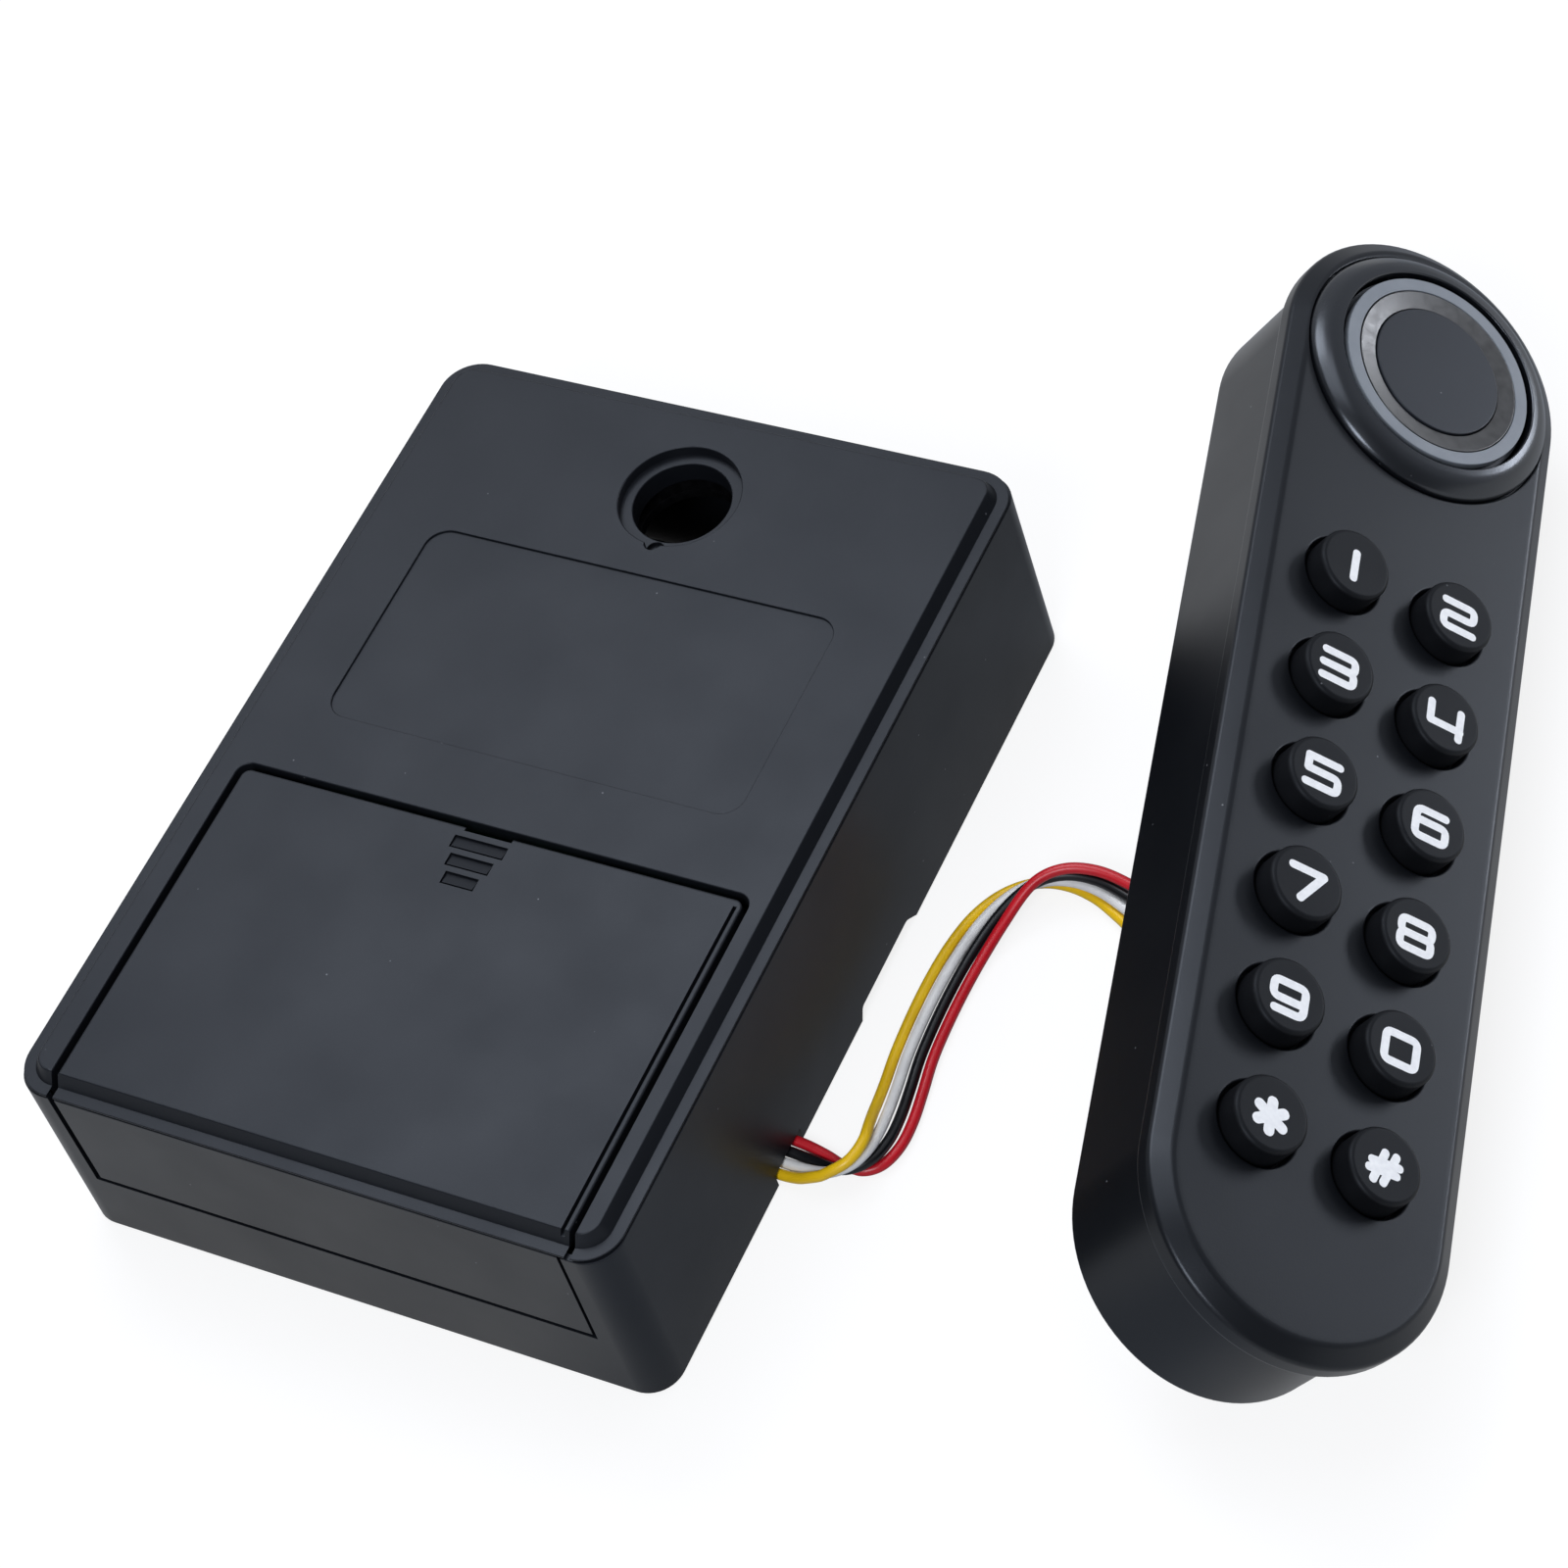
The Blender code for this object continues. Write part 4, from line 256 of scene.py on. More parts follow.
# Round reader
READER_V = 72.37
TOUCH_RADIUS = 8.83
TOUCH_N = 2.0
RING_OUTER = 13.13
RING_INNER = 11.44
RING_N = 2.1
RING_SHELF = 0.9
READER_FLANGE_RADIUS = 13.6
READER_FLANGE_N = 0.6
READER_BODY_RADIUS = 10.0
READER_BODY_STEP = -2.0
READER_BODY_LOW = -7.4
BEZEL_OUTER = 17.2
BEZEL_INNER = 13.9
BEZEL_LIP = 0.3
BEZEL_HEIGHT = 2.3
BEZEL_SEAT = -0.5
BEZEL_SEAT_DEPTH = 0.8
BEZEL_SOFT = 0.3
RING_SOFT = 0.12
BEVEL_DROP = 0.25
TOUCH_SOFT = 0.15
SEAT_SOFT = 0.3
READER_SEAM = 0.12

# The bezel's round shoulder, from the inside out: shares of its width and height
BEZEL_SHOULDER_SHARES = (
    (0.22, 0.96), (0.36, 0.90), (0.52, 0.80), (0.68, 0.64),
    (0.82, 0.46), (0.93, 0.30), (1.0, 0.10),
)

# Flat four-wire lead: its wires' colours from one side to the other, and its route: x, y and z of the
# middle line and the turn of the flat lead about it, in degrees
WIRE_COLOURS = {
    "yellow": (0.98, 0.60, 0.010),
    "white": (0.90, 0.89, 0.86),
    "black": (0.003, 0.0035, 0.0048),
    "red": (0.62, 0.008, 0.018),
}
WIRE_RADIUS = 0.7
WIRE_PITCH = 1.6
LEAD_ROUTE = (
    (31.3, -25.3, 1.6, 0), (36.0, -25.3, 1.3, 0), (41.2, -25.4, 1.0, 0),
    (44.4, -25.7, 1.3, 15), (47.3, -25.9, 2.0, 42), (49.8, -25.1, 2.9, 72),
    (51.3, -22.9, 3.1, 105), (51.6, -19.8, 2.5, 135), (51.1, -16.2, 1.5, 158),
    (50.4, -12.2, 0.85, 173), (49.7, -7.4, 0.75, 180), (49.4, -2.0, 0.75, 180),
    (49.4, 3.4, 0.75, 180), (49.8, 8.4, 0.9, 184), (50.8, 12.9, 1.4, 195),
    (52.6, 16.7, 2.1, 215), (55.3, 19.4, 2.8, 240), (58.7, 20.7, 3.1, 264),
    (62.5, 20.7, 3.1, 285), (66.4, 19.6, 3.0, 305), (70.3, 17.9, 3.0, 324),
    (74.2, 16.0, 3.3, 340), (77.9, 14.5, 4.1, 351), (81.2, 13.8, 5.6, 358),
    (83.7, 13.8, 7.4, 360), (85.78, 14.31, 9.79, 360),
)

# Floor, with a painted shade that dims its reflections between the case and the keypad
FLOOR_SIZE = 3.0
FLOOR_DROP = 0.0003
FLOOR_COLOUR = (0.32, 0.35, 0.39)
SHADOW_WHITE = 0.83
LIT_SHARE = 0.21
MIRROR_SHARE_OPEN = 0.60
# painted shade: the floor's reflected white drops to this share between the case and the keypad
MIRROR_SHARE_PAINTED_SHADE = 0.17
BETWEEN_X = 0.072
BETWEEN_HALF = 0.022
BETWEEN_FADE = 0.03

# Light: the surround's strength turns from front to back over a span of directions
LIGHT_COLOUR = (0.93, 0.97, 1.06)
SURROUND_FRONT = 0.20
SURROUND_BACK = 0.55
SURROUND_TURN = 0.4

# Each soft lamp: name, place, aim, width, height and power
LAMPS = (
    ("high left", (-0.35, 0.35, 0.85), (0.0, 0.0, 0.0), 0.4, 0.4, 2.7),
    ("over", (0.0, 0.1, 0.9), (0.03, 0.0, 0.0), 0.5, 0.5, 1.3),
    ("window", (0.95, 1.05, 0.12), (0.1, 0.0, 0.02), 0.5, 0.15, 3.7),
    ("front", (0.1, -1.0, 0.3), (0.0, 0.0, 0.02), 0.6, 0.3, 0.4),
    ("fill", (0.2, -0.8, 0.85), (0.05, 0.0, 0.0), 0.4, 0.4, 5.5),
)

# Finishes, their scales per metre and their depths in metres
NOISE_MIDDLE = (0.3, 0.7)
GRAIN_MIDDLE = (0.35, 0.65)
GRAIN_SHARE = 0.16
GRAIN_GAIN = 1.9
PATCH_SCALE = 38.0
GLOSS_SCALE = 70.0
GLOSS_SPREAD = 0.03
STREAK_SCALE = 900.0
STREAK_GLOSS = 0.06
DUST_SCALE = 210.0
DUST_EDGE = (0.012, 0.03)
DUST_COLOUR = (0.42, 0.43, 0.45)
SKIN_SHINE = (0.86, 0.92, 1.0, 1)
GRAIN_STRENGTH = 0.5
METAL_GAINS = (0.9, 1.05)
WIRE_GAINS = (0.9, 1.06)
WIRE_PATCH_SCALE = 250.0
WIRE_GLOSS = (0.30, 0.40)
WIRE_WAVE_SCALE = 600.0
WIRE_WAVE_STRENGTH = 0.2
WIRE_WAVE_DEPTH = 0.00003

# Moulded finishes: colour, roughness, specular level, dust, then any unusual grain, grain depth and spread
MOULDED = {
    "case_plastic": ((0.0066, 0.0075, 0.0098), 0.41, 0.29, 0.4),
    "pad_plastic": ((0.0032, 0.0037, 0.0050), 0.33, 0.36, 0.5),
    "bezel_black": ((0.003, 0.0034, 0.0046), 0.25, 0.75, 0.5),
    "key_rubber": ((0.0045, 0.0048, 0.0058), 0.5, 0.2, 0.25, 3000.0, 0.000012),
    "reader_black": ((0.012, 0.0135, 0.0175), 0.36, 0.36, 0.4, 5200.0, 0.000004, 0.05),
    "white_nylon": ((0.72, 0.71, 0.67), 0.5, 0.5, 0.0, 2500.0, 0.00001, 0.05),
}

# Smooth finishes: the two colours that they drift between, the scale of that, and roughness
MOTTLED = {
    "ring_grey": ((0.19, 0.21, 0.235), (0.22, 0.24, 0.265), 300.0, (0.36, 0.44)),
    "white_print": ((0.86, 0.86, 0.86), (0.95, 0.95, 0.94), 1500.0, 0.55),
    "cell_green": ((0.03, 0.20, 0.08), (0.05, 0.28, 0.12), 60.0, 0.3),
}
SLEEVE_COAT = 0.3

# Circuit boards: solder mask with paler tracks
MASK_COLOUR = (0.012, 0.10, 0.045)
TRACK_COLOUR = (0.03, 0.22, 0.10)
TRACK_SCALE = 320.0
TRACK_EDGE = (0.04, 0.07)
BOARD_ROUGHNESS = 0.38

# Metals: colour and roughness
METALS = {
    "bevel_grey": ((0.115, 0.115, 0.115), 0.36),
    "steel": ((0.55, 0.55, 0.56), 0.33),
    "dark_steel": ((0.05, 0.05, 0.055), 0.45),
}

# The CAD nodes that keep their own shape, by the slot of their finish
NODE_SLOTS = {
    "case_plastic": ("lock_base_plate", "battery_tray", "latch_switch"),
    "key_rubber": ("key_mat", "cable_outlet"),
    "dark_steel": ("latch_slide", "latch_frame"),
    "steel": (
        "gear_axle",
        "motor_pinion",
        "latch_motor",
        *(f"{name}_{i}" for name in ("case_screw", "cell_spring", "cell_contact") for i in (1, 2, 3, 4)),
        *(f"{name}_{i}" for name in ("keypad_screw", "mounting_post") for i in (1, 2)),
    ),
    "board_green": ("lock_circuit_board", "keypad_circuit_board"),
    "white_nylon": ("wire_connector", "drive_gear"),
}


def pad_place():
    """The matrix that takes the keypad's own frame to its place beside the case."""
    height = BASE_HALF * math.sin(PAD_TILT) + BASE_DEPTH * math.cos(PAD_TILT)
    turn = Matrix.Rotation(PAD_YAW, 4, "Z") @ Matrix.Rotation(PAD_TILT, 4, "Y")
    return Matrix.Translation(Vector((PAD_X, PAD_Y, height)) * METRES) @ turn


PAD_PLACE = pad_place()


def link(name, mesh):
    """A new object in the scene with this mesh."""
    obj = bpy.data.objects.new(name, mesh)
    bpy.context.scene.collection.objects.link(obj)
    return obj


def from_bmesh(name, shape):
    """The object of a bmesh given in millimetres, its faces turned outwards."""
    bmesh.ops.remove_doubles(shape, verts=shape.verts, dist=MERGE_DISTANCE)
    bmesh.ops.recalc_face_normals(shape, faces=shape.faces)
    bmesh.ops.scale(shape, vec=(METRES,) * 3, verts=shape.verts)
    mesh = bpy.data.meshes.new(name)
    shape.to_mesh(mesh)
    shape.free()
    return link(name, mesh)


def loft(name, sections):
    """A solid through outlines of equal counts, each given with its height."""
    shape = bmesh.new()
    rings = [[shape.verts.new((x, y, z)) for x, y in line] for line, z in sections]
    count = len(rings[0])
    for below, above in zip(rings, rings[1:]):
        for i in range(count):
            j = (i + 1) % count
            shape.faces.new((below[i], below[j], above[j], above[i]))
    shape.faces.new(reversed(rings[0]))
    shape.faces.new(rings[-1])
    return from_bmesh(name, shape)


def prism(name, outline, low, high):
    """A straight solid with one outline, along Z."""
    return loft(name, [(outline, low), (outline, high)])


def prism_x(name, outline, low, high):
    """A straight solid along X, with one outline across it in y and z."""
    obj = prism(name, outline, low, high)
    obj.data.transform(Matrix(((0, 0, 1, 0), (1, 0, 0, 0), (0, 1, 0, 0), (0, 0, 0, 1))))
    return obj


def box(name, low, high):
    """A box between two corners."""
    outline = [(low[0], low[1]), (high[0], low[1]), (high[0], high[1]), (low[0], high[1])]
    return prism(name, outline, low[2], high[2])


def arc(centre, radius, start, end, steps):
    """Points along an arc, with both of its ends."""
    angles = [start + (end - start) * i / steps for i in range(steps + 1)]
    return [(centre[0] + radius * math.cos(a), centre[1] + radius * math.sin(a)) for a in angles]


def circle(centre, radius, sides):
    """A full circle's points, anticlockwise."""
    return arc(centre, radius, 0, 2 * math.pi, sides)[:-1]


def round_post(name, centre, radius, low, high, sides=SMALL_SIDES):
    """A straight round solid along Z."""
    return prism(name, circle(centre, radius, sides), low, high)


def rounded(low, high, radius):
    """A rectangle with round corners, anticlockwise."""
    left = low[0] + radius
    front = low[1] + radius
    right = high[0] - radius
    back = high[1] - radius
    quarter = math.pi / 2
    points = []
    for i, centre in enumerate(((right, front), (right, back), (left, back), (left, front))):
        start = (i - 1) * quarter
        points += arc(centre, radius, start, start + quarter, CORNER_STEPS)
    return points


def stadium(half, low, high):
    """A long outline with two round ends, anticlockwise."""
    points = arc((0, high - half), half, 0, math.pi, END_STEPS)
    return points + arc((0, low + half), half, math.pi, 2 * math.pi, END_STEPS)


def bend(start, corner, end, steps):
    """Points along a soft bend from start to end that is drawn towards the corner."""
    line = []
    for i in range(steps + 1):
        t = i / steps
        first = (1 - t) * (1 - t)
        second = 2 * t * (1 - t)
        third = t * t
        line.append(tuple(first * a + second * b + third * c for a, b, c in zip(start, corner, end)))
    return line


def softened(points, reach, steps=SOFT_STEPS):
    """A line whose inner corners are soft bends that start this far from them."""
    line = [points[0]]
    for before, corner, after in zip(points, points[1:], points[2:]):
        line += bend(toward(corner, before, reach), corner, toward(corner, after, reach), steps)
    return line + [points[-1]]


def toward(corner, other, reach):
    """The point this far from a corner on its way to another, short of halfway."""
    share = min(reach / math.dist(corner, other), BEND_LIMIT)
    return tuple(corner[k] + (other[k] - corner[k]) * share for k in (0, 1))


def turned(name, profile, sides, centre=(0, 0)):
    """A turned solid about a line along Z, from radius and height pairs."""
    shape = bmesh.new()
    rings = []
    for radius, height in profile:
        points = [centre] if radius < MERGE_DISTANCE else circle(centre, radius, sides)
        rings.append([shape.verts.new((x, y, height)) for x, y in points])
    pairs = list(zip(rings, rings[1:]))
    if profile[0][0] >= MERGE_DISTANCE:
        pairs.append((rings[-1], rings[0]))
    for first, second in pairs:
        for i in range(sides):
            j = (i + 1) % sides
            corners = [first[i % len(first)], first[j % len(first)]]
            corners += [second[j % len(second)], second[i % len(second)]]
            shape.faces.new(dict.fromkeys(corners))
    return from_bmesh(name, shape)


def flared(name, outline, low, top, soft):
    """A cutter that opens in a soft curve at its top; outline(grow) gives its outline, grown."""
    profile = softened([(0, low), (0, top), (soft + OVERRUN, top + LIP_RISE)], soft)
    end_grow, end_z = profile[-2]
    sections = [(outline(grow), z) for grow, z in profile[:-1]]
    sections.append((outline(end_grow), end_z + OVERRUN))
    return loft(name, sections)


def flared_round(name, centre, radius, low, top, soft):
    """A round flared cutter."""

    def outline(grow):
        return circle(centre, radius + grow, ROUND_SIDES)

    return flared(name, outline, low, top, soft)


def combine(obj, other, operation):
    """Applies one exact Boolean and removes the other mesh."""
    modifier = obj.modifiers.new(operation.lower(), "BOOLEAN")
    modifier.operation = operation
    modifier.solver = "EXACT"
    modifier.object = other
    graph = bpy.context.evaluated_depsgraph_get()
    mesh = bpy.data.meshes.new_from_object(obj.evaluated_get(graph))
    obj.modifiers.clear()
    obj.data = mesh
    bpy.data.objects.remove(other, do_unlink=True)


def cut(obj, *others):
    """Cuts each of the others out of the object."""
    for other in others:
        combine(obj, other, "DIFFERENCE")
    return obj


def join(obj, *others):
    """Joins each of the others to the object."""
    for other in others:
        combine(obj, other, "UNION")
    return obj


def finish(obj, looks, skin, body=HOUSING, node=None, place=None):
    """Places and smooths a piece, gives it its finish in a material slot and its body, and hides the CAD
    node that it stands for.
    """
    if place is not None:
        obj.data.transform(place)
    obj.data.materials.append(looks[skin])
    obj.data.shade_smooth()
    obj.data.set_sharp_from_angle(angle=SMOOTH_ANGLE)
    normals = obj.modifiers.new("face weights", "WEIGHTED_NORMAL")
    normals.keep_sharp = True
    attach(obj, body)
    if node:
        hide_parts(node)
    return obj


class Graph:
    """The node tree of a material or world, with short ways to add nodes and join them."""

    def __init__(self, owner):
        self.owner = owner
        owner.use_nodes = True
        self.tree = owner.node_tree
        self.shader = self.tree.nodes.get("Principled BSDF")

    def put(self, value, socket):
        """Sets an input to a number or colour, or joins an output to it."""
        if isinstance(value, bpy.types.NodeSocket):
            self.tree.links.new(value, socket)
        else:
            socket.default_value = value

    def dress(self, **values):
        """Sets or joins the main shader's inputs, each named with _ for a space."""
        for key, value in values.items():
            self.put(value, self.shader.inputs[key.replace("_", " ")])

    def add(self, kind, inputs=None, **properties):
        """Adds a node with its properties and inputs, and gives its outputs."""
        node = self.tree.nodes.new(f"ShaderNode{kind}")
        for key, value in properties.items():
            setattr(node, key, value)
        for key, value in (inputs or {}).items():
            self.put(value, node.inputs[key])
        return node.outputs

    def place(self):
        """The point in metres, in the object's own frame."""
        return self.add("TexCoord")["Object"]

    def noise(self, scale, detail=2.0, roughness=0.5):
        """A noise value between 0 and 1, by its scale per metre."""
        inputs = {"Vector": self.place(), "Scale": scale, "Detail": detail, "Roughness": roughness}
        return self.add("TexNoise", inputs)["Fac"]

    def cells(self, scale, **properties):
        """A distance in a pattern of cells, by its scale per metre."""
        inputs = {"Vector": self.place(), "Scale": scale}
        return self.add("TexVoronoi", inputs, **properties)["Distance"]

    def span(self, value, low, high, out_low, out_high):
        """A value moved from one range to another, and kept in it."""
        inputs = {"Value": value, "From Min": low, "From Max": high, "To Min": out_low, "To Max": out_high}
        return self.add("MapRange", inputs, clamp=True)["Result"]

    def patches(self, scale, detail=2.0, low=0.0, high=1.0):
        """Soft patches between two values: the middle of a noise, spread out."""
        return self.span(self.noise(scale, detail), *NOISE_MIDDLE, low, high)

    def mix(self, factor, first, second):
        """A mix of two colours, each three numbers or an output."""
        inputs = {0: factor, 6: opaque(first), 7: opaque(second)}
        return self.add("Mix", inputs, data_type="RGBA")[2]

    def reckon(self, operation, first, second=0.0):
        """The result of one arithmetic step."""
        return self.add("Math", {0: first, 1: second}, operation=operation)[0]

    def bump(self, height, strength, distance):
        """A bump on the shader from a height value, its distance in metres."""
        inputs = {"Strength": strength, "Distance": distance, "Height": height}
        self.dress(Normal=self.add("Bump", inputs)["Normal"])


def opaque(colour):
    """A colour with its fourth number, or an output as it is."""
    return (*colour, 1) if isinstance(colour, tuple) else colour


def scaled(colour, gain):
    """A colour made lighter or darker."""
    return tuple(min(channel * gain, 1.0) for channel in colour)


def new_graph(name):
    """The node tree of a new material."""
    return Graph(bpy.data.materials.new(name))


def moulded(name, colour, roughness, specular, dust, grain=4200.0, depth=0.00001, spread=0.10):
    """A moulded finish with a fine grain, soft patches in colour and gloss, and a little dust."""
    graph = new_graph(name)
    patches = graph.patches(PATCH_SCALE, detail=3.0)
    base = graph.mix(patches, scaled(colour, 1 - spread), scaled(colour, 1 + spread))
    fine = graph.noise(grain, roughness=0.6)
    peaks = graph.span(fine, *GRAIN_MIDDLE, 0.0, GRAIN_SHARE)
    speckled = graph.mix(peaks, base, scaled(colour, GRAIN_GAIN))
    if dust:
        specks = graph.span(graph.cells(DUST_SCALE), *DUST_EDGE, dust, 0.0)
        speckled = graph.mix(specks, speckled, DUST_COLOUR)
    gloss = graph.patches(GLOSS_SCALE, 4.0, roughness - GLOSS_SPREAD, roughness + GLOSS_SPREAD)
    graph.dress(Base_Color=speckled, Roughness=gloss, Specular_IOR_Level=specular, Specular_Tint=SKIN_SHINE)
    graph.bump(fine, GRAIN_STRENGTH, depth)
    return graph.owner


def mottled(name, first, second, scale, gloss, detail=2.0):
    """A smooth finish whose colour drifts between two, and its gloss over any range."""
    graph = new_graph(name)
    shade = graph.patches(scale, detail)
    rough = gloss if isinstance(gloss, float) else graph.span(shade, 0.0, 1.0, *gloss)
    graph.dress(Base_Color=graph.mix(shade, first, second), Roughness=rough)
    return graph


def metal(name, colour, roughness):
    """A plated metal with faint streaks."""
    gloss = (roughness - STREAK_GLOSS, roughness + STREAK_GLOSS)
    colours = [scaled(colour, gain) for gain in METAL_GAINS]
    graph = mottled(name, *colours, STREAK_SCALE, gloss, detail=3.0)
    graph.dress(Metallic=1.0)
    return graph.owner


def board_looks():
    """A circuit board: solder mask with paler tracks under it."""
    graph = new_graph("board_green")
    edges = graph.cells(TRACK_SCALE, feature="DISTANCE_TO_EDGE")
    tracks = graph.span(edges, *TRACK_EDGE, 1.0, 0.0)
    graph.dress(Base_Color=graph.mix(tracks, MASK_COLOUR, TRACK_COLOUR), Roughness=BOARD_ROUGHNESS)
    return graph.owner


def insulation(name, colour):
    """Soft, faintly uneven wire insulation."""
    colours = [scaled(colour, gain) for gain in WIRE_GAINS]
    graph = mottled(name, *colours, WIRE_PATCH_SCALE, WIRE_GLOSS)
    graph.bump(graph.noise(WIRE_WAVE_SCALE), WIRE_WAVE_STRENGTH, WIRE_WAVE_DEPTH)
    return graph.owner


def make_looks():
    """Every finish, by its name."""
    looks = {name: moulded(name, *values) for name, values in MOULDED.items()}
    looks |= {name: metal(name, *values) for name, values in METALS.items()}
    looks |= {f"wire_{name}": insulation(f"wire_{name}", colour) for name, colour in WIRE_COLOURS.items()}
    smooth = {name: mottled(name, *values) for name, values in MOTTLED.items()}
    smooth["cell_green"].dress(Coat_Weight=SLEEVE_COAT)
    looks |= {name: graph.owner for name, graph in smooth.items()}
    looks["board_green"] = board_looks()
    return looks


def rim_outline(inset, corner=CASE_CORNER, lean=0):
    """The case's nominal outline, moved out by the wall's lean and in by the inset."""
    x = HALF_WIDTH + lean - inset
    y = HALF_LENGTH + lean - inset
    return rounded((-x, -y), (x, y), corner - inset)


def wall_lean(z):
    """How far the wall stands outside the case's nominal outline at a height."""
    return WALL_FLARE - (WALL_FLARE - LEDGE_FLARE) * z / WALL_TOP


def wall_outline(z, inset):
    """The leaning case wall's outline at a height, moved in from its outer face."""
    return rim_outline(inset, lean=wall_lean(z))


def ledge_corners():
    """The outer end of the ledge, as inset and height."""
    return [(-LEDGE_FLARE, LID_LOW), (-LEDGE_FLARE, LEDGE_Z), (STEP_FOOT_INSET, LEDGE_Z)]


def step_corners():
    """The step up from the ledge to the flat top, as inset and height."""
    inner = STEP_TOP_INSET + 3 * STEP_SOFT
    return [(STEP_FOOT_INSET, LEDGE_Z), (STEP_TOP_INSET, CASE_HEIGHT), (inner, CASE_HEIGHT)]


def lid_sections():
    """The lid's outlines, from the tongue over ledge and step to the flat top."""
    ledge = softened([(STEP_FOOT_INSET, LID_LOW), *ledge_corners()], LEDGE_SOFT)
    step = softened(step_corners(), STEP_SOFT)
    profile = [(TONGUE_INSET, TONGUE_LOW), (TONGUE_INSET, LID_LOW)] + ledge[1:] + step[1:]
    return [(rim_outline(inset, section_corner(inset, z)), z) for inset, z in profile]


def section_corner(inset, z):
    """The top's corners are tighter than the ledge's."""
    share = max(0, (z - LEDGE_Z) / STEP_HEIGHT)
    top_corner = STEP_TOP_CORNER + STEP_TOP_INSET
    return CASE_CORNER + (top_corner - CASE_CORNER) * share


def window_outline(grow):
    """The battery cover's opening in the lid, open at the front."""
    front = BEFORE - COVER_CORNER - OVERRUN
    low = (COVER_LEFT - COVER_GAP - grow, front)
    high = (COVER_RIGHT + COVER_RIGHT_GAP + grow / 2, COVER_BACK_Y + COVER_GAP + grow)
    return rounded(low, high, COVER_CORNER + COVER_RIGHT_GAP)


def label_outline(grow):
    """The label recess, grown by an amount."""
    x = LABEL_HALF[0] + grow
    y = LABEL_HALF[1] + grow
    return rounded((-x, LABEL_Y - y), (x, LABEL_Y + y), LABEL_CORNER)


def make_lid(looks):
    """The lid with its window, label recess, strike hole and posts."""
    lid = loft("lid", lid_sections())
    hollow = prism("hollow", rim_outline(CLEARANCE + WALL), TONGUE_LOW - OVERRUN, LID_UNDER)
    cut(lid, hollow)
    guide_low = LID_UNDER - HOLE_GUIDE_LENGTH
    guide_radius = HOLE_RADIUS + HOLE_GUIDE_WALL
    join(lid, round_post("guide", HOLE, guide_radius, guide_low, LID_UNDER + OVERLAP, ROUND_SIDES))
    for place in [(x, y) for y in SCREW_POST_YS for x in (-SCREW_POST_X, SCREW_POST_X)]:
        join(lid, round_post("post", place, SCREW_POST_RADIUS, PLATE_SEAT_Z, LID_UNDER + OVERLAP))
        cut(lid, round_post("pilot", place, SCREW_HOLE_RADIUS, PLATE_SEAT_Z - OVERRUN, SCREW_HOLE_TOP))
    cut(lid, flared("window", window_outline, TONGUE_LOW - OVERRUN, CASE_HEIGHT, WINDOW_SOFT))
    cut(lid, flared("label", label_outline, CASE_HEIGHT - LABEL_DEPTH, CASE_HEIGHT, LABEL_SOFT))
    cut(lid, *strike_hole_cutters(guide_low))
    finish(lid, looks, "case_plastic", node="lock_top_cover")


def strike_hole_cutters(guide_low):
    """The through hole, its wide recess and the pointer beside it."""
    floor = CASE_HEIGHT - HOLE_RECESS_DEPTH
    through = flared_round("through", HOLE, HOLE_RADIUS, guide_low - OVERRUN, floor, HOLE_SOFT)
    recess = flared_round("recess", HOLE, HOLE_RECESS_RADIUS, floor, CASE_HEIGHT, HOLE_SOFT)
    middle = (HOLE[0], HOLE[1] - HOLE_RECESS_RADIUS - POINTER_LENGTH + POINTER_HALF_WIDTH)
    low = CASE_HEIGHT - POINTER_DEPTH
    pointer = round_post("pointer", middle, POINTER_HALF_WIDTH, low, ABOVE, ROUND_SIDES)
    return through, recess, pointer


def cover_axis_y():
    """The hinge line lies in the middle of the front wall at its own height."""
    return -HALF_LENGTH - wall_lean(COVER_AXIS_Z) + WALL / 2


def make_case(looks):
    """The leaning walls with the cover's opening, the slot and the notch."""
    soft = EDGE_SOFT
    case = loft("case", [
        (wall_outline(0, soft), 0),
        (wall_outline(soft / 2, soft / 3), soft / 3),
        (wall_outline(soft, 0), soft),
        (wall_outline(WALL_TOP - soft, 0), WALL_TOP - soft),
        (wall_outline(WALL_TOP, soft / 3), WALL_TOP - soft / 3),
        (wall_outline(WALL_TOP, soft), WALL_TOP),
    ])
    ends = (-OVERRUN, WALL_TOP + OVERRUN)
    cut(case, loft("hollow", [(wall_outline(z, WALL), z) for z in ends]))
    rebate = (TONGUE_LOW - CLEARANCE, WALL_TOP + OVERRUN)
    cut(case, loft("rebate", [(wall_outline(z, WALL_LIP), z) for z in rebate]))
    sill = COVER_AXIS_Z - WALL / 2 - COVER_FOOT_GAP
    low = (COVER_LEFT - COVER_GAP, BEFORE, sill)
    high = (COVER_LEG_RIGHT + COVER_LEG_GAP, cover_axis_y() + WALL + OVERRUN, WALL_TOP + OVERRUN)
    cut(case, box("opening", low, high))
    reach = COVER_PIN_LENGTH + CLEARANCE
    line = circle((cover_axis_y(), COVER_AXIS_Z), COVER_PIN_RADIUS + COVER_PIN_CLEARANCE, SMALL_SIDES)
    sockets = prism_x("sockets", line, COVER_LEFT - reach, COVER_LEG_RIGHT + reach)
    cut(case, sockets, side_notch(), wire_slot())
    finish(case, looks, "case_plastic", node="lock_case")


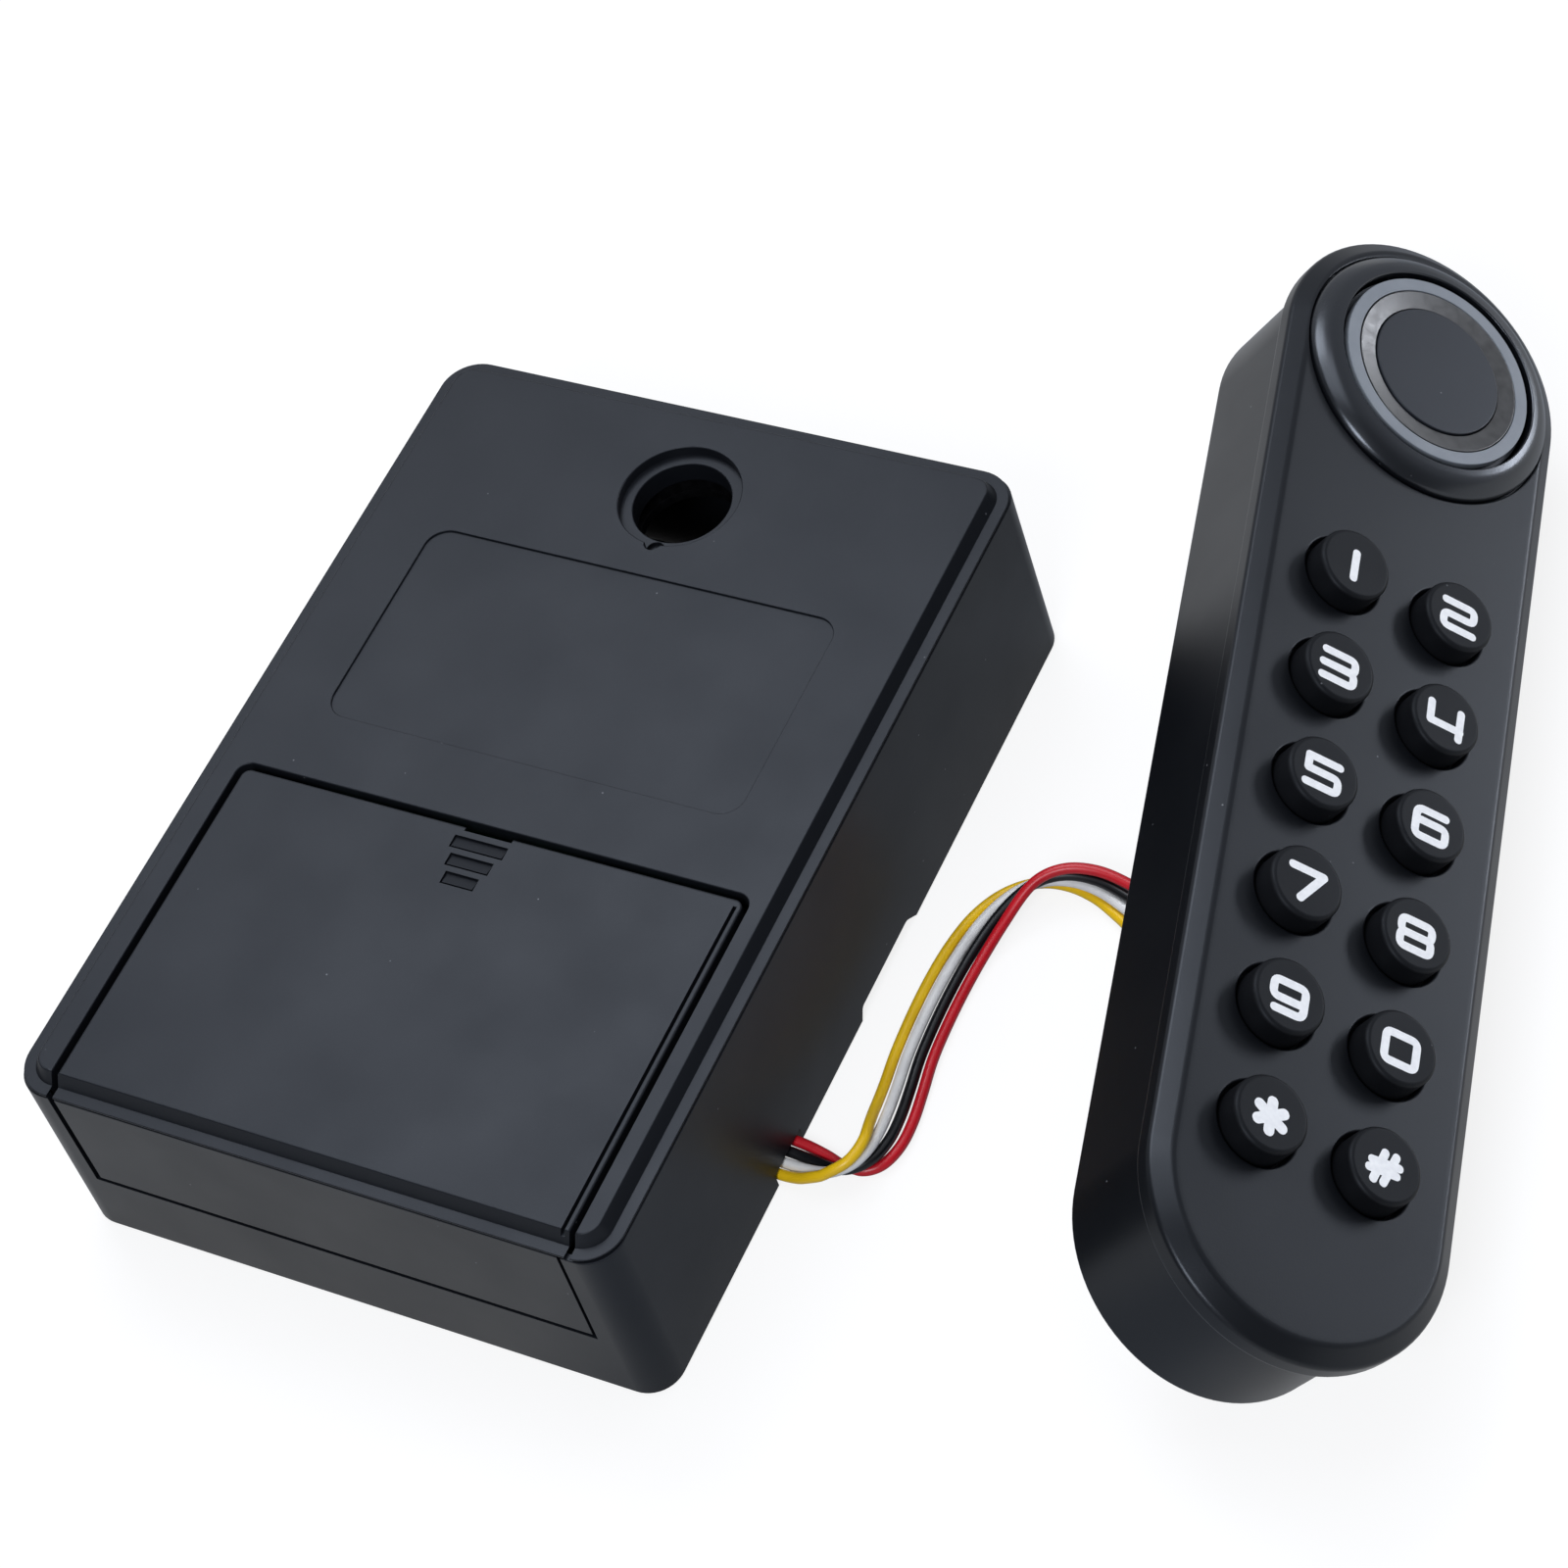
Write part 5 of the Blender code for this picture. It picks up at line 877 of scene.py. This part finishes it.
def side_notch():
    """The long notch at the foot of the right wall."""
    front = NOTCH_MIDDLE_Y - NOTCH_LENGTH / 2
    back = NOTCH_MIDDLE_Y + NOTCH_LENGTH / 2
    corners = [
        (front - NOTCH_FRONT_RUN, -OVERRUN),
        (front - NOTCH_FRONT_RUN, 0),
        (front, NOTCH_HEIGHT),
        (back, NOTCH_HEIGHT),
        (back + NOTCH_BACK_RUN, 0),
        (back + NOTCH_BACK_RUN, -OVERRUN),
    ]
    return prism_x("notch", softened(corners, NOTCH_SOFT)[::-1], INSIDE, BESIDE)


def wire_slot():
    """The slot where the lead leaves the case."""
    return box("slot", (INSIDE, SLOT_Y - SLOT_HALF, -OVERRUN), (BESIDE, SLOT_Y + SLOT_HALF, SLOT_HEIGHT))


def cover_profile():
    """The cover's section: foot, wall, parting groove, ledge, step and back edge."""
    axis = (cover_axis_y(), COVER_AXIS_Z)
    foot = arc(axis, WALL / 2, 0, -math.pi / 2, CORNER_STEPS)
    corner = (axis[0] - WALL / 2 + COVER_FOOT_CORNER, axis[1] - WALL / 2 + COVER_FOOT_CORNER)
    foot += arc(corner, COVER_FOOT_CORNER, -math.pi / 2, -math.pi, CORNER_STEPS)
    wall_top_y = -HALF_LENGTH - LEDGE_FLARE
    groove_y = wall_top_y + PARTING_GAP
    wall = softened([foot[-1], (wall_top_y, WALL_TOP), (groove_y, WALL_TOP)], EDGE_SOFT)
    rim = [(inset - HALF_LENGTH, z) for inset, z in ledge_corners()]
    ledge = softened([(groove_y, LID_LOW), *rim], LEDGE_SOFT)
    step = softened([(inset - HALF_LENGTH, z) for inset, z in step_corners()], STEP_SOFT)
    top = (COVER_BACK_Y - 3 * COVER_SOFT, CASE_HEIGHT)
    back = softened([top, (COVER_BACK_Y, CASE_HEIGHT), (COVER_BACK_Y, COVER_UNDER)], COVER_SOFT)
    inner_y = wall_top_y + WALL
    slope = [(inner_y + COVER_INNER_SLOPE, COVER_UNDER), (inner_y, COVER_UNDER - COVER_INNER_SLOPE)]
    return foot[:-1] + wall + ledge + step[1:] + back + slope


def make_cover(looks):
    """The battery cover with its hinge pins, finger notch and grips."""
    cover = prism_x("cover", cover_profile(), COVER_LEFT, COVER_RIGHT)
    combine(cover, cover_trim(), "INTERSECT")
    cut(cover, *cover_side_cutters())
    line = circle((cover_axis_y(), COVER_AXIS_Z), COVER_PIN_RADIUS, SMALL_SIDES)
    join(cover, prism_x("pins", line, COVER_LEFT - COVER_PIN_LENGTH, COVER_LEG_RIGHT + COVER_PIN_LENGTH))
    low = (FINGER_NOTCH_X - FINGER_NOTCH_WIDTH / 2, COVER_BACK_Y - FINGER_NOTCH_DEPTH)
    high = (FINGER_NOTCH_X + FINGER_NOTCH_WIDTH / 2, COVER_BACK_Y + OVERRUN)
    cut(cover, box("finger notch", (*low, COVER_UNDER - OVERRUN), (*high, ABOVE)))
    cut(cover, *grip_cutters())
    finish(cover, looks, "case_plastic", body="battery_cover", node="battery_cover")


def cover_side_cutters():
    """The relief beside the cover's leg and the groove along its right side."""
    low = COVER_AXIS_Z - WALL / 2 - OVERRUN
    relief_high = (COVER_RIGHT + OVERRUN, COVER_BACK_Y + OVERRUN, LID_LOW)
    relief = box("relief", (COVER_LEG_RIGHT, BEFORE, low), relief_high)
    groove_low = (COVER_LEG_RIGHT, BEFORE, CASE_HEIGHT - SIDE_GROOVE_DEPTH)
    groove_right = COVER_LEG_RIGHT + SIDE_GROOVE_WIDTH
    groove_high = (groove_right, COVER_BACK_Y - SIDE_GROOVE_STOP, ABOVE)
    return relief, box("side groove", groove_low, groove_high)


def cover_trim():
    """A block that rounds the cover's back corners and softens its side edges."""
    front = BEFORE - COVER_CORNER

    def outline(inset):
        corners = (COVER_LEFT + inset, front), (COVER_RIGHT - inset, COVER_BACK_Y - inset)
        return rounded(*corners, COVER_CORNER - inset)

    top = [(0, 0), (0, CASE_HEIGHT), (COVER_SOFT * 3, CASE_HEIGHT)]
    line = softened(top, COVER_SOFT, 2 * SOFT_STEPS)[1:-1]
    sections = [(outline(0), COVER_AXIS_Z - WALL)] + [(outline(inset), z) for inset, z in line]
    return loft("trim", sections)


def grip_cutters():
    """Shallow wedges with a fine line round each, deepest at the back."""
    cutters = []
    for number, width in enumerate(GRIP_WIDTHS):
        back = GRIP_FIRST_Y - number * GRIP_PITCH
        front = back - GRIP_LENGTH
        bottom = CASE_HEIGHT - GRIP_DEPTH
        section = [(front, CASE_HEIGHT), (back, bottom), (back, ABOVE), (front, ABOVE)]
        left = GRIP_X - width / 2
        right = GRIP_X + width / 2
        wedge = prism_x(f"grip {number}", section, left, right)
        ends = [(left, left + GRIP_LINE), (right - GRIP_LINE, right)]
        sides = [box("grip end", (low, front, bottom), (high, back, ABOVE)) for low, high in ends]
        line = box("grip line", (left, front, bottom), (right, front + GRIP_LINE, ABOVE))
        join(wedge, *sides, line)
        cutters.append(wedge)
    return cutters


def make_cells(looks):
    """Round cells as large as the faceted ones' boxes, each with its nub at the same end."""
    for number in range(1, CELL_COUNT + 1):
        node = f"battery_cell_{number}"
        low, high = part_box(node)
        radius = (high.x - low.x) / 2 / METRES
        length = (high.y - low.y) / METRES
        shoulder = length - CELL_NUB_LENGTH
        to_back = number % 2 == 1
        foot = Vector(((low.x + high.x) / 2, low.y if to_back else high.y, (low.z + high.z) / 2))
        place = Matrix.Translation(foot) @ Matrix.Rotation(math.radians(-90 if to_back else 90), 4, "X")
        profile = softened([(0, 0), (radius, 0), (radius, shoulder), (0, shoulder)], CELL_SOFT)
        sleeve = turned(f"sleeve_{number}", profile, ROUND_SIDES)
        finish(sleeve, looks, "cell_green", node=node, place=place)
        nub = round_post(f"nub_{number}", (0, 0), CELL_NUB_RADIUS, shoulder - OVERLAP, length, ROUND_SIDES)
        finish(nub, looks, "steel", place=place)


def pad_outline(inset):
    """The face plate's outline, moved in."""
    return stadium(PAD_HALF - inset, PAD_LOW + inset, PAD_HIGH - inset)


def base_outline(inset):
    """The keypad base's outline, moved in."""
    return stadium(BASE_HALF - inset, BASE_LOW + inset, BASE_HIGH - inset)


def key_places():
    """Each key's name and middle, in reading order."""
    for number, name in enumerate(KEY_NAMES):
        row, column = divmod(number, 2)
        u = KEY_GRID[0] + (column - 0.5) * KEY_PITCH_ACROSS
        v = KEY_GRID[1] + ((KEY_ROW_COUNT - 1) / 2 - row) * KEY_PITCH_DOWN
        yield name, (u, v)


def make_face(looks):
    """The chamfered face plate with its key holes, reader's seat, pocket and posts."""
    corners = [
        (OVERRUN / 2, -PAD_THICKNESS),
        (0, -PAD_THICKNESS),
        (0, -PAD_CHAMFER_DEPTH),
        (PAD_CHAMFER_WIDTH, 0),
        (PAD_CHAMFER_WIDTH + 2 * PAD_SOFT, 0),
    ]
    face = loft("face", [(pad_outline(inset), n) for inset, n in softened(corners, PAD_SOFT)])
    below = -PAD_THICKNESS - OVERRUN
    cut(face, prism("pocket", pad_outline(PAD_SKIRT), below, -PAD_SKIN))
    for v in SCREW_VS:
        join(face, round_post("post", (0, v), FACE_POST_RADIUS, FACE_POST_LOW, -PAD_SKIN + OVERLAP))
        cut(face, round_post("pilot", (0, v), SCREW_HOLE_RADIUS, FACE_POST_LOW - OVERRUN, FACE_PILOT_TOP))
    for _, place in key_places():
        cut(face, flared_round("key hole", place, KEY_HOLE_RADIUS, below, 0, KEY_HOLE_SOFT))
    reader = (0, READER_V)
    cut(face, round_post("well", reader, READER_FLANGE_RADIUS + CLEARANCE, below, OVERRUN, ROUND_SIDES))
    seat = BEZEL_OUTER + CLEARANCE / 2
    cut(face, flared_round("seat", reader, seat, -BEZEL_SEAT_DEPTH, 0, SEAT_SOFT))
    finish(face, looks, "pad_plastic", node="keypad_front_plate", place=PAD_PLACE)


def make_base(looks):
    """The deep keypad base with its bosses, posts and the holes in its back."""
    rim = -PAD_THICKNESS - CLEARANCE
    corners = [(2 * BASE_SOFT, -BASE_DEPTH), (0, -BASE_DEPTH), (0, rim)]
    base = loft("base", [(base_outline(inset), n) for inset, n in softened(corners, BASE_SOFT)])
    floor = -BASE_DEPTH + BASE_WALL
    cut(base, prism("hollow", base_outline(BASE_WALL), floor, rim + OVERRUN))
    board_posts = [(side * BOARD_POST_U, v) for v in BOARD_POST_VS for side in (-1, 1)]
    for places, radius, top in (
        ([(0, v) for v in SCREW_VS], SCREW_BOSS_RADIUS, SCREW_BOSS_TOP),
        ([(0, v) for v in POST_VS], POST_BOSS_RADIUS, POST_BOSS_TOP),
        (board_posts, BOARD_POST_RADIUS, BOARD_POST_TOP),
    ):
        join(base, *[round_post("boss", place, radius, floor - OVERLAP, top) for place in places])
    below = -BASE_DEPTH - OVERRUN
    for v in SCREW_VS:
        cut(base, round_post("bore", (0, v), SCREW_HOLE_RADIUS, below, SCREW_BOSS_TOP + OVERRUN))
        cut(base, round_post("sink", (0, v), SCREW_SINK_RADIUS, below, SCREW_SINK_TOP))
    for v in POST_VS:
        cut(base, round_post("socket", (0, v), POST_SOCKET_RADIUS, below, POST_SOCKET_TOP))
    half_u, half_v = OUTLET_HOLE_HALF
    outline = rounded((-half_u, -half_v), (half_u, half_v), OUTLET_CORNER)
    cut(base, prism("outlet hole", outline, below, floor + OVERRUN))
    finish(base, looks, "pad_plastic", node="keypad_base", place=PAD_PLACE)


def bezel_profile():
    """The bezel's section: the lip at its inner edge and the round shoulder."""
    span = BEZEL_OUTER - BEZEL_INNER
    shoulder = [(BEZEL_INNER + span * along, BEZEL_HEIGHT * up) for along, up in BEZEL_SHOULDER_SHARES]
    lip = [
        (BEZEL_INNER, BEZEL_SEAT),
        (BEZEL_INNER, BEZEL_HEIGHT - BEZEL_LIP / 2),
        (BEZEL_INNER + BEZEL_LIP / 4, BEZEL_HEIGHT - BEZEL_LIP / 6),
        (BEZEL_INNER + BEZEL_LIP / 2, BEZEL_HEIGHT),
    ]
    return lip + softened(shoulder, BEZEL_SOFT) + [(BEZEL_OUTER, BEZEL_SEAT)]


def add_reader_piece(looks, name, profile, skin, node):
    """Makes one turned piece of the reader."""
    piece = turned(name, profile, 2 * ROUND_SIDES, (0, READER_V))
    finish(piece, looks, skin, node=node, place=PAD_PLACE)


def make_reader(looks):
    """The bezel, the light ring, the sloping inner ring and the touch surface."""
    add_reader_piece(looks, "bezel", bezel_profile(), "bezel_black", "sensor_bezel")
    ring = ring_profile(RING_INNER, RING_OUTER, RING_N, RING_N)
    add_reader_piece(looks, "light_ring", ring, "ring_grey", "sensor_ring")
    slope = ring_profile(TOUCH_RADIUS + READER_SEAM, RING_INNER - READER_SEAM, TOUCH_N - BEVEL_DROP, RING_N)
    add_reader_piece(looks, "bevel_ring", slope, "bevel_grey", "sensor_inner_ring")
    edge = [(TOUCH_RADIUS / 2, TOUCH_N), (TOUCH_RADIUS, TOUCH_N), (TOUCH_RADIUS, READER_FLANGE_N)]
    touch = [
        (0, TOUCH_N),
        *softened(edge, TOUCH_SOFT),
        (READER_FLANGE_RADIUS, READER_FLANGE_N),
        (READER_FLANGE_RADIUS, READER_BODY_STEP),
        (READER_BODY_RADIUS, READER_BODY_STEP),
        (READER_BODY_RADIUS, READER_BODY_LOW),
        (0, READER_BODY_LOW),
    ]
    add_reader_piece(looks, "touch_surface", touch, "reader_black", "fingerprint_pad")


def ring_profile(inner, outer, inner_n, outer_n):
    """A ring's section with soft upper edges."""
    corners = [(inner, RING_SHELF), (inner, inner_n), (outer, outer_n), (outer, RING_SHELF)]
    return softened(corners, RING_SOFT)


def make_keys(looks):
    """Twelve rubber keys with soft edges, and the white print on each."""
    profile = [
        (0, KEY_HEIGHT),
        *arc((KEY_RADIUS - KEY_EDGE, KEY_HEIGHT - KEY_EDGE), KEY_EDGE, math.pi / 2, 0, 2 * SOFT_STEPS),
        (KEY_RADIUS, KEY_FLANGE_TOP),
        (KEY_FLANGE_RADIUS, KEY_FLANGE_TOP),
        (KEY_FLANGE_RADIUS, KEY_FLANGE_LOW),
        (0, KEY_FLANGE_LOW),
    ]
    glyphs = glyph_strokes()
    for name, place in key_places():
        key = turned(f"cap_{name}", profile, ROUND_SIDES, place)
        finish(key, looks, "key_rubber", body=f"key_{name}", node=f"key_{name}", place=PAD_PLACE)
        printed = glyph_mesh(f"print_{name}", glyphs[name], place)
        finish(printed, looks, "white_print", f"key_{name}", place=PAD_PLACE)


def stroke(*points, radius=0, closed=False):
    """One stroke: its line, its bends' radius and whether it closes."""
    return points, radius, closed


def glyph_strokes():
    """Each glyph's strokes; nw, ne, sw and se are the corners of a glyph's frame."""
    left = -2.05
    right = 2.05
    high = 1.83
    low = -1.83
    nw = (left, high)
    ne = (right, high)
    sw = (left, low)
    se = (right, low)
    wide = 0.8
    foot = 1.0
    waist = 0.05
    return {
        "1": [stroke((0, high), (0, low))],
        "2": [stroke(nw, ne, (right, 0), (left, 0), sw, (right + 0.1, low), radius=wide)],
        "3": [
            stroke(nw, ne, (right, waist), (left - 0.15, 0), radius=wide),
            stroke((left - 0.15, 0), (right, -waist), se, (left - 0.1, low), radius=wide),
        ],
        "4": [
            stroke(nw, (left + 0.05, -0.72)),
            stroke((left + 0.05, -0.72), (right + 0.1, -0.72)),
            stroke(ne, se),
        ],
        "5": [
            stroke(ne, nw),
            stroke(nw, (left, 0.1)),
            stroke((left, 0.1), (right, 0.1), se, (left - 0.1, low), radius=wide),
        ],
        "6": [
            stroke((right - 0.2, high), nw, (left, -0.6), radius=foot),
            stroke(sw, (left, 0.32), (right, 0.32), se, radius=wide, closed=True),
        ],
        "7": [
            stroke(nw, (right + 0.05, high)),
            stroke((right + 0.05, high), (-0.5, low - 0.15)),
        ],
        "8": [
            stroke((left, waist), nw, ne, (right, waist), radius=wide, closed=True),
            stroke(sw, (left, waist), (right, waist), se, radius=wide, closed=True),
        ],
        "9": [
            stroke((left, -0.32), nw, ne, (right, -0.32), radius=wide, closed=True),
            stroke((right, 0.6), se, (left + 0.4, low), radius=foot),
        ],
        "0": [stroke(sw, nw, ne, se, radius=wide, closed=True)],
        "star": [stroke(star_end(angle), star_end(angle + 180)) for angle in (30, 90, 150)],
        "hash": [
            stroke((-1.26, low), (-0.15, high)),
            stroke((0.06, low), (1.3, high)),
            stroke((-1.7, 0.42), (1.85, 0.68)),
            stroke((-1.95, -0.6), (1.6, -0.4)),
            stroke((-0.3, -0.1), (0.3, 0.15)),
        ],
    }


def star_end(angle):
    """One tip of the star's arms."""
    turn = math.radians(angle)
    return STAR_REACH * math.cos(turn), STAR_REACH * math.sin(turn)


def bent_line(points, radius, closed):
    """A stroke's line with soft bends of one radius, or the line itself."""
    if not radius:
        return points
    if closed:
        return softened((points[-1], *points, points[0]), radius, GLYPH_TURN_STEPS)[1:-1]
    return softened(points, radius, GLYPH_TURN_STEPS)


def glyph_mesh(name, strokes, place):
    """The printed film of one glyph."""
    shape = bmesh.new()
    for number, (points, radius, closed) in enumerate(strokes):
        line = [Vector(point) for point in bent_line(points, radius, closed)]
        top = KEY_HEIGHT + GLYPH_LIFT + number * GLYPH_LIFT / 10
        half = (STAR_STROKE if name.endswith("star") else GLYPH_STROKE) / 2
        add_stroke(shape, line, closed, half, place, top)
    return from_bmesh(name, shape)


def add_stroke(shape, line, closed, half, place, top):
    """Adds one flat stroke to the film, as a row of thin blocks."""
    line = [(point, half) for point in line] if closed else with_round_ends(line, half)
    count = len(line)
    low = KEY_HEIGHT - GLYPH_SINK
    rows = []
    for i, (point, reach) in enumerate(line):
        before = line[i - 1][0] if closed or i else point
        after = line[(i + 1) % count][0] if closed or i < count - 1 else point
        ahead = (after - before).normalized()
        side = Vector((-ahead.y, ahead.x)) * reach
        middle = Vector(place) + Vector(GLYPH_SHIFT) + point
        corners = (middle + side, middle - side)
        rows.append([shape.verts.new((c.x, c.y, n)) for n in (low, top) for c in corners])
    pairs = list(zip(rows, rows[1:]))
    if closed:
        pairs.append((rows[-1], rows[0]))
    for a, b in pairs:
        for i, j in ((0, 1), (1, 3), (3, 2), (2, 0)):
            shape.faces.new((a[i], a[j], b[j], b[i]))
    if not closed:
        shape.faces.new((rows[0][0], rows[0][1], rows[0][3], rows[0][2]))
        shape.faces.new((rows[-1][2], rows[-1][3], rows[-1][1], rows[-1][0]))


def with_round_ends(line, half):
    """The line's points with their half widths, narrowing at both ends."""
    ends = []
    for end, inner in ((line[0], line[1]), (line[-1], line[-2])):
        out = (end - inner).normalized()
        angles = [math.pi / 2 * i / GLYPH_TURN_STEPS for i in range(1, GLYPH_TURN_STEPS)]
        ends.append([(end + out * half * math.sin(a), half * math.cos(a)) for a in angles])
    body = [(point, half) for point in line]
    return ends[0][::-1] + body + ends[1]


def smooth_route():
    """The lead's middle line read off a smooth curve through its own points."""
    points = [Vector(point) for point in (LEAD_ROUTE[0], *LEAD_ROUTE, LEAD_ROUTE[-1])]
    route = []
    for before, here, there, after in zip(points, points[1:], points[2:], points[3:]):
        slope_in = (there - before) / 2
        slope_out = (after - here) / 2
        for step in range(WIRE_SPAN_STEPS):
            t = step / WIRE_SPAN_STEPS
            blend = 3 * t * t - 2 * t * t * t
            place = here * (1 - blend) + there * blend
            place += slope_in * (t * (1 - t) * (1 - t)) - slope_out * (t * t * (1 - t))
            route.append(place)
    return route + [points[-1]]


def wire_line(index):
    """One wire's own line: its place across the flat lead, which turns about the middle line."""
    route = smooth_route()
    across = ((len(WIRE_COLOURS) - 1) / 2 - index) * WIRE_PITCH
    line = []
    for behind, place, ahead in zip([route[0], *route], route, [*route[1:], route[-1]]):
        along = (ahead - behind).to_3d().normalized()
        right = along.cross(Vector((0, 0, 1))).normalized()
        over = right.cross(along)
        angle = math.radians(place[3])
        side = right * math.cos(angle) + over * math.sin(angle)
        line.append((place.to_3d() + side * across) * METRES)
    return line


def make_wires(looks):
    """The lead's four wires, each a round cord from the case's connector to the keypad."""
    for index, colour in enumerate(WIRE_COLOURS):
        line = wire_line(index)
        curve = bpy.data.curves.new(f"lead_{colour}", "CURVE")
        curve.dimensions = "3D"
        curve.bevel_depth = WIRE_RADIUS * METRES
        curve.bevel_resolution = WIRE_SIDES
        curve.use_fill_caps = True
        spline = curve.splines.new("POLY")
        spline.points.add(len(line) - 1)
        spline.use_smooth = True
        for point, place in zip(spline.points, line):
            point.co = (*place, 1)
        wire = link(f"lead_{colour}", curve)
        curve.materials.append(looks[f"wire_{colour}"])
        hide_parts(f"wire_{colour}")
        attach(wire, HOUSING)


def make_camera():
    """The camera that the photo was fitted with."""
    data = bpy.data.cameras.new("camera")
    data.lens = LENS
    data.sensor_width = SENSOR
    data.clip_start, data.clip_end = CLIP
    camera = link("camera", data)
    turn = Matrix((CAMERA_RIGHT, CAMERA_UP, CAMERA_BACK)).transposed().to_4x4()
    camera.matrix_world = Matrix.Translation(CAMERA_PLACE) @ turn
    scene = bpy.context.scene
    scene.camera = camera
    scene.render.resolution_x = PICTURE_SIDE
    scene.render.resolution_y = PICTURE_SIDE
    scene.view_settings.view_transform = "Standard"


def mirror_share(graph):
    """How bright the floor stands in a reflection: dimmed by a painted shade between the case and the
    keypad.
    """
    place = graph.add("NewGeometry")["Position"]
    x = graph.add("SeparateXYZ", {0: place})["X"]
    # painted shade: the floor is darker in reflections near the middle line between the case and the keypad
    away = graph.reckon("ABSOLUTE", graph.reckon("SUBTRACT", x, BETWEEN_X))
    far = BETWEEN_HALF + BETWEEN_FADE
    return graph.span(away, BETWEEN_HALF, far, MIRROR_SHARE_PAINTED_SHADE, MIRROR_SHARE_OPEN)


def floor_looks():
    """White to the camera but for a faint shadow, dimmed in reflections by a painted shade between the case
    and the keypad, and pale to other rays.
    """
    graph = new_graph("floor")
    graph.tree.nodes.clear()
    path = graph.add("LightPath")
    direct = graph.reckon("MAXIMUM", path["Is Camera Ray"], path["Is Transmission Ray"])
    # glossy rays see the floor's white with the painted shade between the case and the keypad
    mirrored = graph.reckon("MULTIPLY", path["Is Glossy Ray"], mirror_share(graph))
    pale = graph.add("BsdfDiffuse", {"Color": opaque(FLOOR_COLOUR)})[0]
    light = graph.add("Emission", {"Strength": 1.0})[0]
    unseen = graph.add("MixShader", {0: mirrored, 1: pale, 2: light})[0]
    shadow_white = graph.add("Emission", {"Strength": SHADOW_WHITE})[0]
    lit = graph.add("BsdfDiffuse", {"Color": opaque((LIT_SHARE,) * 3)})[0]
    white = graph.add("AddShader", {0: shadow_white, 1: lit})[0]
    surface = graph.add("MixShader", {0: direct, 1: unseen, 2: white})[0]
    graph.add("OutputMaterial", {"Surface": surface})
    return graph.owner


def make_floor():
    """The sweep under the part."""
    half = FLOOR_SIZE / 2
    mesh = bpy.data.meshes.new("floor")
    corners = [(x * half, y * half, -FLOOR_DROP) for x, y in ((-1, -1), (1, -1), (1, 1), (-1, 1))]
    mesh.from_pydata(corners, [], [(0, 1, 2, 3)])
    mesh.materials.append(floor_looks())
    link("floor", mesh)


def make_lights():
    """Soft lamps round the part."""
    for name, place, aim, width, height, power in LAMPS:
        data = bpy.data.lights.new(name, "AREA")
        data.shape = "RECTANGLE"
        data.size = width
        data.size_y = height
        data.energy = power
        data.color = LIGHT_COLOUR
        lamp = link(name, data)
        lamp.location = place
        lamp.rotation_euler = (Vector(aim) - Vector(place)).to_track_quat("-Z", "Y").to_euler()


def make_surround():
    """A pale surround that is dimmer in front."""
    graph = Graph(bpy.data.worlds.new("surround"))
    bpy.context.scene.world = graph.owner
    way = graph.add("TexCoord")["Generated"]
    depth = graph.add("SeparateXYZ", {0: way})["Y"]
    shade = graph.tree.nodes["Background"].inputs
    graph.put(opaque(LIGHT_COLOUR), shade["Color"])
    strength = graph.span(depth, -SURROUND_TURN, SURROUND_TURN, SURROUND_FRONT, SURROUND_BACK)
    graph.put(strength, shade["Strength"])


def dress_nodes(frame, looks):
    """Gives the CAD nodes that stay in view the finish of their slot."""
    for slot, names in NODE_SLOTS.items():
        for name in names:
            materials = frame["nodes"][name].data.materials
            materials.clear()
            materials.append(looks[slot])


def main():
    """Loads the frame and dresses it."""
    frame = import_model()
    make_camera()
    looks = make_looks()
    make_wires(looks)
    make_floor()
    make_lights()
    make_surround()
    dress_nodes(frame, looks)
    for make in (make_lid, make_case, make_cover, make_cells, make_face, make_base, make_reader, make_keys):
        make(looks)


main()
